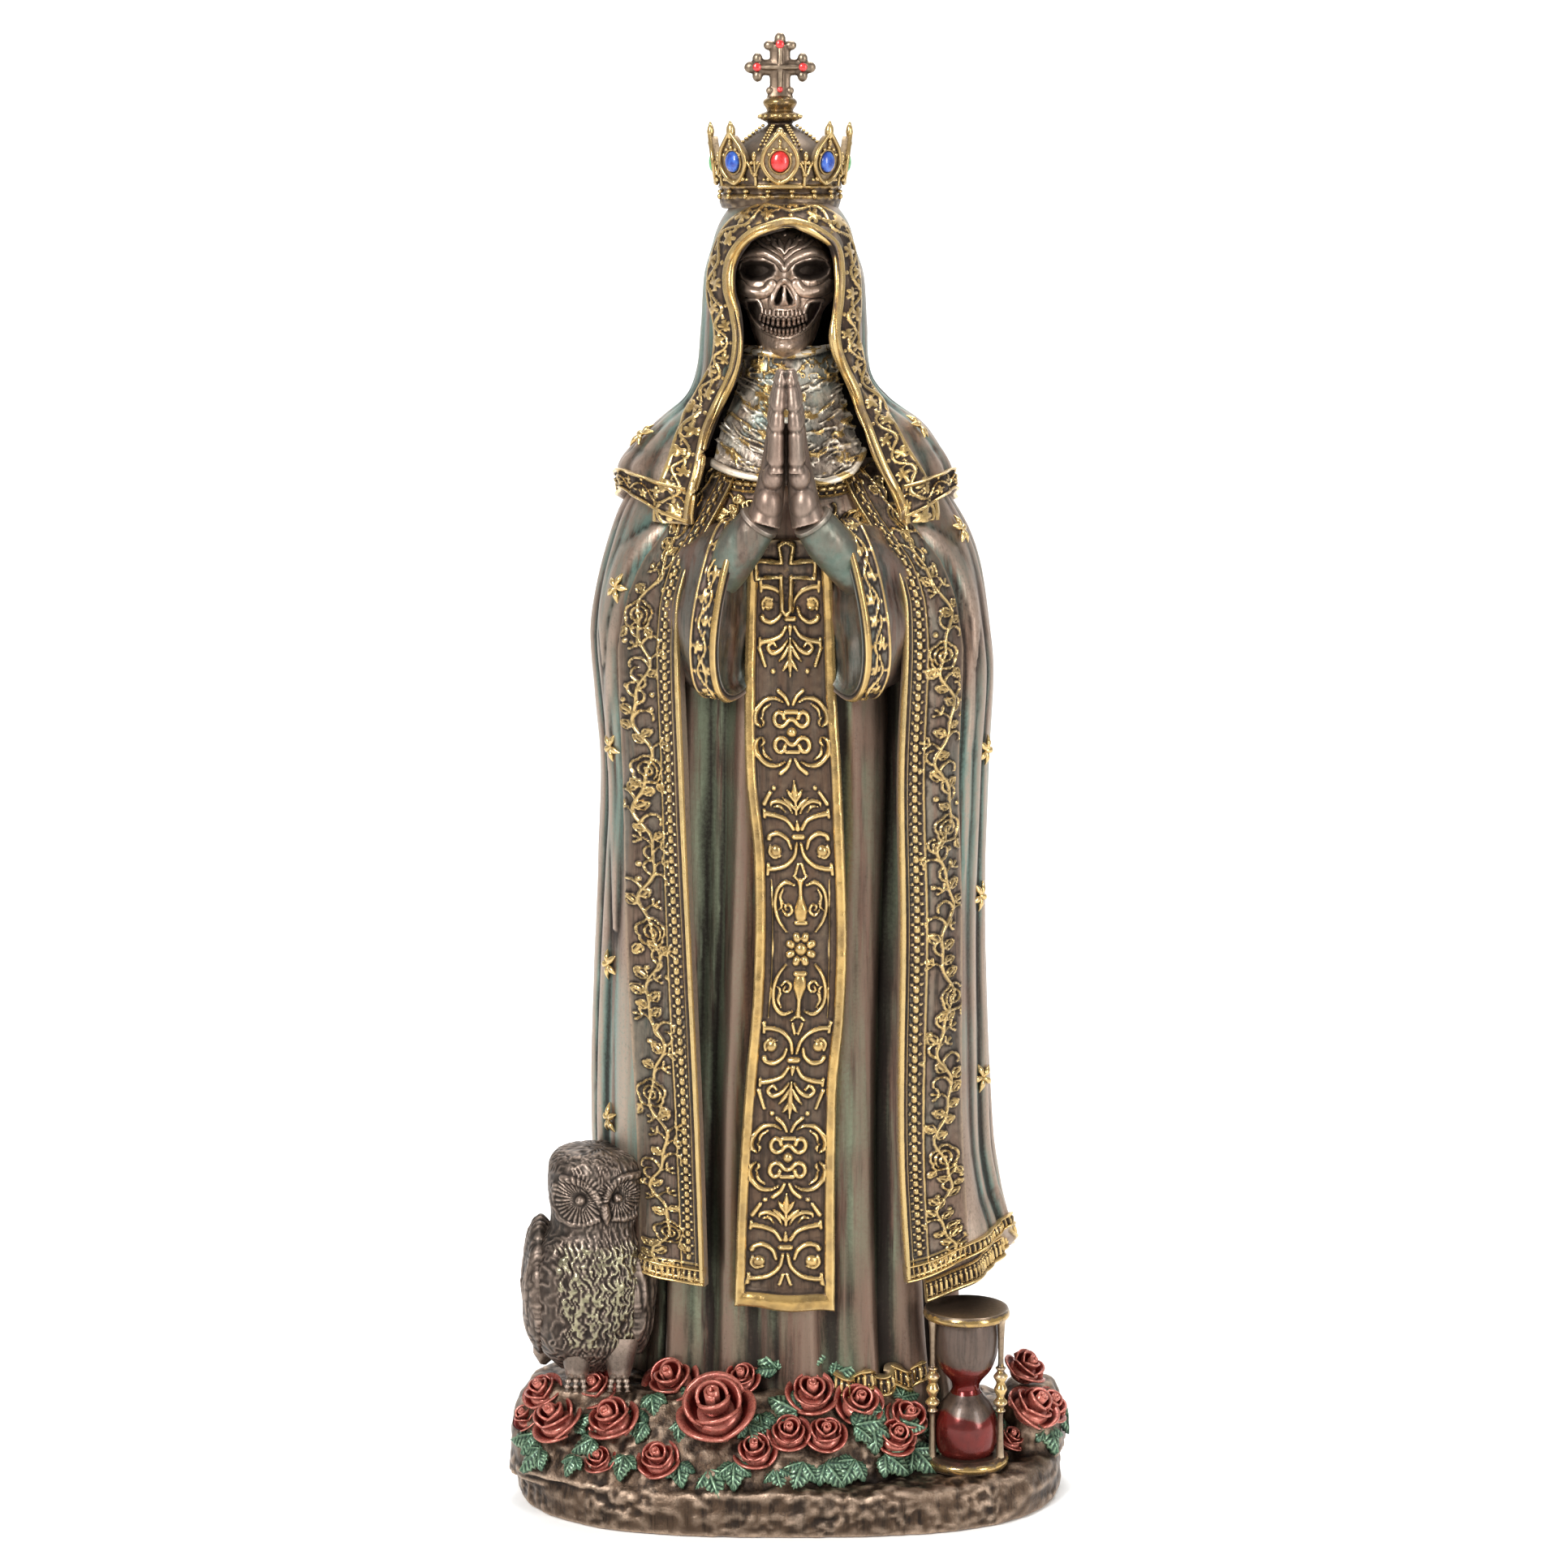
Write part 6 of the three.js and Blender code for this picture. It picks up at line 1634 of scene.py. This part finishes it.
feathers.append(tube(tail + OWL, girth, 44, flat=0.7))
piece("owl_feathers", feathers, owl_paint, "owl", reach=(0.1, 0.6), rounds=(2, 8))

# %% [markdown]
# ## The hourglass
# Two bulbs stand between discs with gilded rims, held by three ringed balusters. Everything is a turned
# profile, so each is a short list of radii and heights spun about its axis. Red paint fills the lower
# part of each bulb, with a soft edge where the painter's brush ran out.

# %% A turned profile
def turned(stations, count, sides, place, gilt=None, relief=None):
    profile = smooth(stations, count)
    round_it = all_round(sides)[None, :]
    far, rise = profile[:, :1] + 0 * round_it, profile[:, 1:2] + 0 * round_it
    if relief is not None:
        far = far + relief(round_it, rise)
    spots = stacked(far * np.cos(round_it), far * np.sin(round_it), rise) + place
    return ring(spots, gilt(round_it, rise) if gilt else np.zeros(far.shape))


# %% Hourglass
GLASS = spot(63.2, -55, 0.3)
TALL, WAIST = 33.4, 15.4


def sand(turn, rise):
    edge = 1.6 * np.sin(2 * turn + 0.6) + 0.5 * np.sin(7 * turn)
    lower = unit((12.2 + edge * 0.5 - rise) / 2.2)
    upper = unit((22.6 + edge * 0.3 - rise) / 2.6)
    return np.where(rise > WAIST, upper, lower) * 0.95


bulbs = [(5.2, 2.2), (6.1, 3.6), (6.55, 6.2), (6.4, 9.4), (5.2, 12.6), (3.3, 15.2), (2.75, 16.6), (3.3, 18),
         (5.2, 20.4), (6.3, 23.6), (6.6, 27), (6.5, 29.6), (6.2, 31.4)]
piece("hourglass_bulbs", [turned(bulbs, 80, 72, GLASS, sand)], glass_paint, "hourglass",
      reach=(0.4, 1.6), rounds=(2, 8))


def on_rim(turn, rise):
    near_edge = np.minimum(np.abs(rise - 1.2), np.abs(rise - (TALL - 1.2)))
    return unit(1.6 - near_edge * 1.3) + 0 * turn


def on_baluster(turn, rise):
    return np.clip(1.3 - np.abs(rise - 16.7) / 6, 0.25, 1) + 0 * turn


stands = []
for flip in (0, 1):
    disc = [(0.3, 0), (7.6, 0), (8.5, 0.3), (8.9, 1.2), (8.6, 1.9), (7.6, 2.3), (6.4, 2.5), (0.3, 2.5)]
    if flip:
        disc = [(far, TALL - rise) for far, rise in disc][::-1]
    stands.append(turned(disc, 46, 72, GLASS, on_rim))
baluster = [(0.9, 2.2), (0.75, 4), (0.62, 8), (0.6, 11.4), (1.1, 12.1), (0.75, 12.8), (1.5, 13.9),
            (0.8, 14.9), (0.9, 15.4), (1.35, 16.7), (0.9, 18), (1.5, 19.4), (0.75, 20.5), (1.1, 21.2),
            (0.6, 22), (0.62, 26), (0.75, 29.4), (0.9, 31.2)]
for way in np.radians((200, 340, 90)):
    place = GLASS + [7.4 * math.cos(way), 7.4 * math.sin(way), 0]
    stands.append(turned(baluster, 84, 14, place, on_baluster))
piece("hourglass_stand", stands, stand_paint, "hourglass", reach=(0.15, 0.8),
      rounds=(2, 8))

# %% [markdown]
# ## The crown
# The crown is a flared band with eight points. Each point is an almond frame with a coloured cabochon
# and a fan of small beads, and a small lily stands between each pair. A low dome with pearled arches
# closes it, and a budded cross stands on two rings.

# %% Places on the crown
CROWN = np.array([-1.8, 1.4, 266.3])


def about_crown(way, far, rise):
    return CROWN + [far * math.cos(way), far * math.sin(way), rise]


def on_crown(way, across, up, out=0.0):
    across, up = np.broadcast_arrays(np.asarray(across, float), np.asarray(up, float))
    far = 11.6 + 0.14 * (up - 4.4) + out
    c, s = math.cos(way), math.sin(way)
    return CROWN + stacked(far * c - across * s, far * s + across * c, up)


def crown_line(way, points, girth, out=0.0, gilt=1.0, sides=8):
    path = smooth(points, 5 * len(points)) if len(points) > 2 else np.array(points, float)
    spots = on_crown(way, path[:, 0], path[:, 1], out)
    girth = resampled(np.atleast_1d(girth), len(path))
    return tube(spots, girth, sides, lay=(math.cos(way), math.sin(way), 0.01), gilt=gilt)


def crown_bead(way, across, up, size, out=0.0, gilt=1.0, detail=2):
    return ball(on_crown(way, across, up, out), size, detail, gilt, way + TURN / 4)


# %% Crown
def scored(turn, rise):
    flat = stacked(turn * 11 + 0 * rise, rise, 0 * rise + 0 * turn)
    return np.where(rise < 4.6, 0.16 * lumps(flat, (1.2, 0.7, 1), 121), 0)


def on_ridges(turn, rise):
    ridges = (rise > 2.6) & (rise < 3.5) | (rise < 1.6) & (rise > 0.6) | (rise > 15.9)
    dome = (rise > 7) & (rise < 15)
    return np.where(ridges, 0.75, np.where(dome, 0.12, 0.3)) + 0 * turn


band = [(9.0, -1.3), (11.4, -1.3), (12.0, -0.6), (12.2, 0.5), (12.3, 1.1), (11.6, 1.7), (11.8, 2.3),
        (12.4, 3.0), (12.2, 3.6), (12.5, 5.2), (12.9, 6.6), (12.2, 6.9), (11.2, 6.2), (10.9, 7.5),
        (10.2, 9.4), (8.6, 11.3), (6.2, 13.1), (3.9, 14.4), (2.7, 15.1), (2.6, 15.7), (3.9, 16.3),
        (4.1, 17.0), (3.8, 17.5), (2.7, 18.0), (2.9, 18.6), (3.4, 19.4), (3.2, 20.2), (1.9, 20.9),
        (0.3, 21)]
goldwork = [turned(band, 150, 128, CROWN, on_ridges, scored)]
EIGHTH = TURN / 8
BARRED = (0, 3, 5)
almond = [(0, 3.7), (1.6, 4.5), (3.1, 6.4), (3.5, 8.2), (2.9, 10.2), (1.5, 12.0), (0.25, 13.4)]
for number in range(8):
    way = -TURN / 4 + number * EIGHTH
    for mirror in (-1, 1):
        frond = [(mirror * 3.5, 8.0), (mirror * 4.3, 7.0), (mirror * 4.9, 5.4)]
        goldwork += [crown_line(way, [(mirror * u, v) for u, v in almond], [0.5, 0.46, 0.46, 0.42], 1.3),
                     crown_line(way, frond, [0.3, 0.26], 0.9), crown_bead(way, mirror * 2.3, 4.5, 0.5, 1.1),
                     crown_bead(way, mirror * 3.2, 4.4, 0.36, 0.9, detail=1)]
    heights = np.linspace(3.9, 13.0, 12)[:, None]
    half = np.interp(heights, [v for _, v in almond], [u for u, _ in almond]) * 0.96
    plate = on_crown(way, half * np.linspace(-1, 1, 9)[None, :], heights + 0 * half, 0.9)
    behind = on_crown(way, half * np.linspace(1, -1, 9)[None, :], heights + 0 * half, -0.3)
    # The plate behind each frame's cabochon is painted half black: painted shade in the frame's hollow.
    goldwork.append(ring(np.concatenate([plate, behind], axis=1), np.full((12, 18), -0.5)))
    for lean in np.radians((-62, -31, 0, 31, 62)):
        across, up = 2.45 * math.sin(lean), 8.0 + 2.7 * math.cos(lean)
        goldwork.append(crown_bead(way, across, up, 0.42, 1.3, detail=1))
    goldwork.append(crown_bead(way, 0, 11.7, (0.42, 0.5, 0.8), 1.4))
    goldwork.append(crown_bead(way, 0, 3.9, (0.55, 0.6, 0.6), 1.3))
    rim = np.linspace(0, TURN, 25)
    goldwork.append(crown_line(way, stacked(2.15 * np.sin(rim), 7.9 + 2.35 * np.cos(rim)), 0.26, 1.15, 0.9))
    if number:
        goldwork.append(crown_bead(way, 0, 13.9, (0.95, 0.75, 1.7), 1.0))
        goldwork.append(crown_bead(way, 0, 15.0, (0.4, 0.4, 0.95), 0.9))
    else:
        goldwork.append(crown_bead(way, 0, 13.7, (0.75, 0.7, 0.85), 1.2))
        goldwork += [crown_bead(way, aside, 13.1, (0.55, 0.6, 0.45), 1.1) for aside in (-0.85, 0.85)]
    between = way + EIGHTH / 2
    goldwork.append(crown_line(between, [(0, 3.2), (0, 8.6)], 0.3, 1.1))
    for across, up, size in (
            (0, 8.9, (0.5, 0.5, 0.95)), (0, 5.4, (0.62, 0.55, 0.62)),
            (-0.65, 7.6, (0.5, 0.4, 0.4)), (0.65, 7.6, (0.5, 0.4, 0.4))):
        goldwork.append(crown_bead(between, across, up, size, 1.2))
    for drop in (way - EIGHTH / 4, way + EIGHTH / 4):
        goldwork += [crown_bead(drop, 0, 2.1, (0.65, 0.6, 0.42), 0.9),
                     crown_bead(drop, 0, 1.1, (0.5, 0.5, 0.62), 1.2)]
    if number in BARRED:
        bar = [about_crown(at, 12.9, 3.0) for at in way + np.linspace(-0.43, 0.43, 9) * EIGHTH]
        goldwork.append(tube(bar, 0.5, 8, lay=(0, 0, 1), gilt=1.0))
    for part in np.linspace(0, 1, 9):
        for twist in (-0.05, 0.05):
            at = about_crown(between + twist, 9.9 - 6.2 * part ** 0.9, 10.2 + 4.9 * part ** 0.75)
            goldwork.append(ball(at, 0.34, 1, 1.0))
goldwork += [ball(about_crown(at, 4.1, 16.9), 0.5, 1, 1.0) for at in all_round(16)]
piece("crown_goldwork", goldwork, crown_paint, "crown", reach=(0.14, 0.7), rounds=(1, 5))

# %% Cross on the crown
ARMS = 26.6


def limb(path, girth, flat=0.5):
    return tube(smooth(path, 26) + CROWN, resampled(girth, 26), 20, flat)


wax = [limb([(0, 0, 20.6), (0, 0, 23.4), (0, 0, ARMS)], [2.7, 2.1, 2.1, 2.5], 0.4),
       limb([(0, 0, ARMS), (0, 0, 29), (0, 0, 31)], [2.5, 2.1, 2.1, 2.5], 0.4)]
for side in (-1, 1):
    wax.append(limb([(0, 0, ARMS), (side * 2.4, 0, ARMS), (side * 4.2, 0, ARMS)], [2.5, 1.7, 1.6, 1.8]))
    for across, up, size in ((5.6, ARMS, (1.6, 1.0, 1.25)), (4.5, ARMS + 1.7, (1.05, 0.95, 1.2)),
                             (4.5, ARMS - 1.7, (1.05, 0.95, 1.2)), (2.1, 30.9, (1.25, 0.95, 1.0)),
                             (2.0, 22.0, (0.85, 0.8, 0.8))):
        wax.append(ball(CROWN + [side * across, 0, up], size, 3))
wax += [ball(CROWN + [0, 0, 32.2], (1.15, 0.95, 1.3), 3),
        limb([(0, -0.8, 21.8), (0, -0.95, 26), (0, -0.8, 31)], [0.42, 0.5, 0.42], 0.8),
        limb([(-4.6, -0.7, ARMS), (0, -0.95, ARMS), (4.6, -0.7, ARMS)], [0.4, 0.55, 0.4], 0.8)]
piece("crown_cross", wax, cross_paint, "crown", reach=(0.08, 0.5), rounds=(2, 8), remesh=0.17)

# %% Gems: the cabochons and the drops of red paint on the cross
colours = ("gem_red", "gem_blue", "gem_green", "gem_blue")
for name in sorted(set(colours)):
    stones = [crown_bead(-TURN / 4 + number * EIGHTH, 0, 7.9, (1.8, 1.0, 2.05), 1.25, 0, 4)
              for number in range(8) if colours[number % 4] == name]
    if name == "gem_red":
        stones += [ball(CROWN + [x, -1.0, z], (r, 0.4, r), 3) for x, z, r in
                   ((-4.6, ARMS, 0.85), (4.6, ARMS, 0.85), (0, 31.1, 0.85), (0, 22.2, 0.6))]
    piece(name, stones, gems[name], "crown", reach=(0.05, 0.3), rounds=(1, 5))

# %% [markdown]
# ## Stars on the cloth
# A few small gilded stars lie on the veil and the mantle. Each has five raised petals with a rounded
# ridge, laid flat against the cloth where it stands.

# %% Stars
star_places = [(-29, 219.5), (25.5, 221.5), (-34, 190), (-35.6, 157.5), (-36.8, 112.5), (-36.8, 80.5),
               (34, 201), (39.8, 156), (39, 126), (39.8, 88)]
ridge = np.array([0.5, 0.75, 0.85, 0.85, 0.8, 0.7, 0.6, 0.5, 0.35, 0.2])
petals = []
for number, (x, z) in enumerate(star_places):
    surface, left, right = ((veil_spots, veil_left, veil_right) if z > 210 else
                            (mantle_spots, mantle_left, mantle_right))
    way = angle_of(np.array(x), left(z), right(z))
    root = surface(way, np.array(float(z)))
    side = direction(surface(way + 0.02, np.array(float(z))) - root)
    above = direction(surface(way, np.array(z + 0.5)) - root)
    out = np.cross(side, above)
    for k in range(5):
        lean = TURN * k / 5 + 0.5 + number
        ray = side * math.cos(lean) + above * math.sin(lean)
        path = root + np.outer(np.linspace(0.2, 3.3, len(ridge)), ray) + np.outer(ridge, out)
        girth = resampled([0.3, 0.78, 0.14], len(ridge))
        petals.append(tube(path, girth, 8, 0.75, lay=tuple(out), gilt=1.0))
piece("stars", petals, embroidery, "figure", reach=(0.06, 0.3), rounds=(1, 4))
print("triangles in all:", sum(totals.values()), "largest:", max(totals.values()))

# %% Size, and the end
size = {"cad_box": cad_box, "bounds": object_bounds()}
print(size)
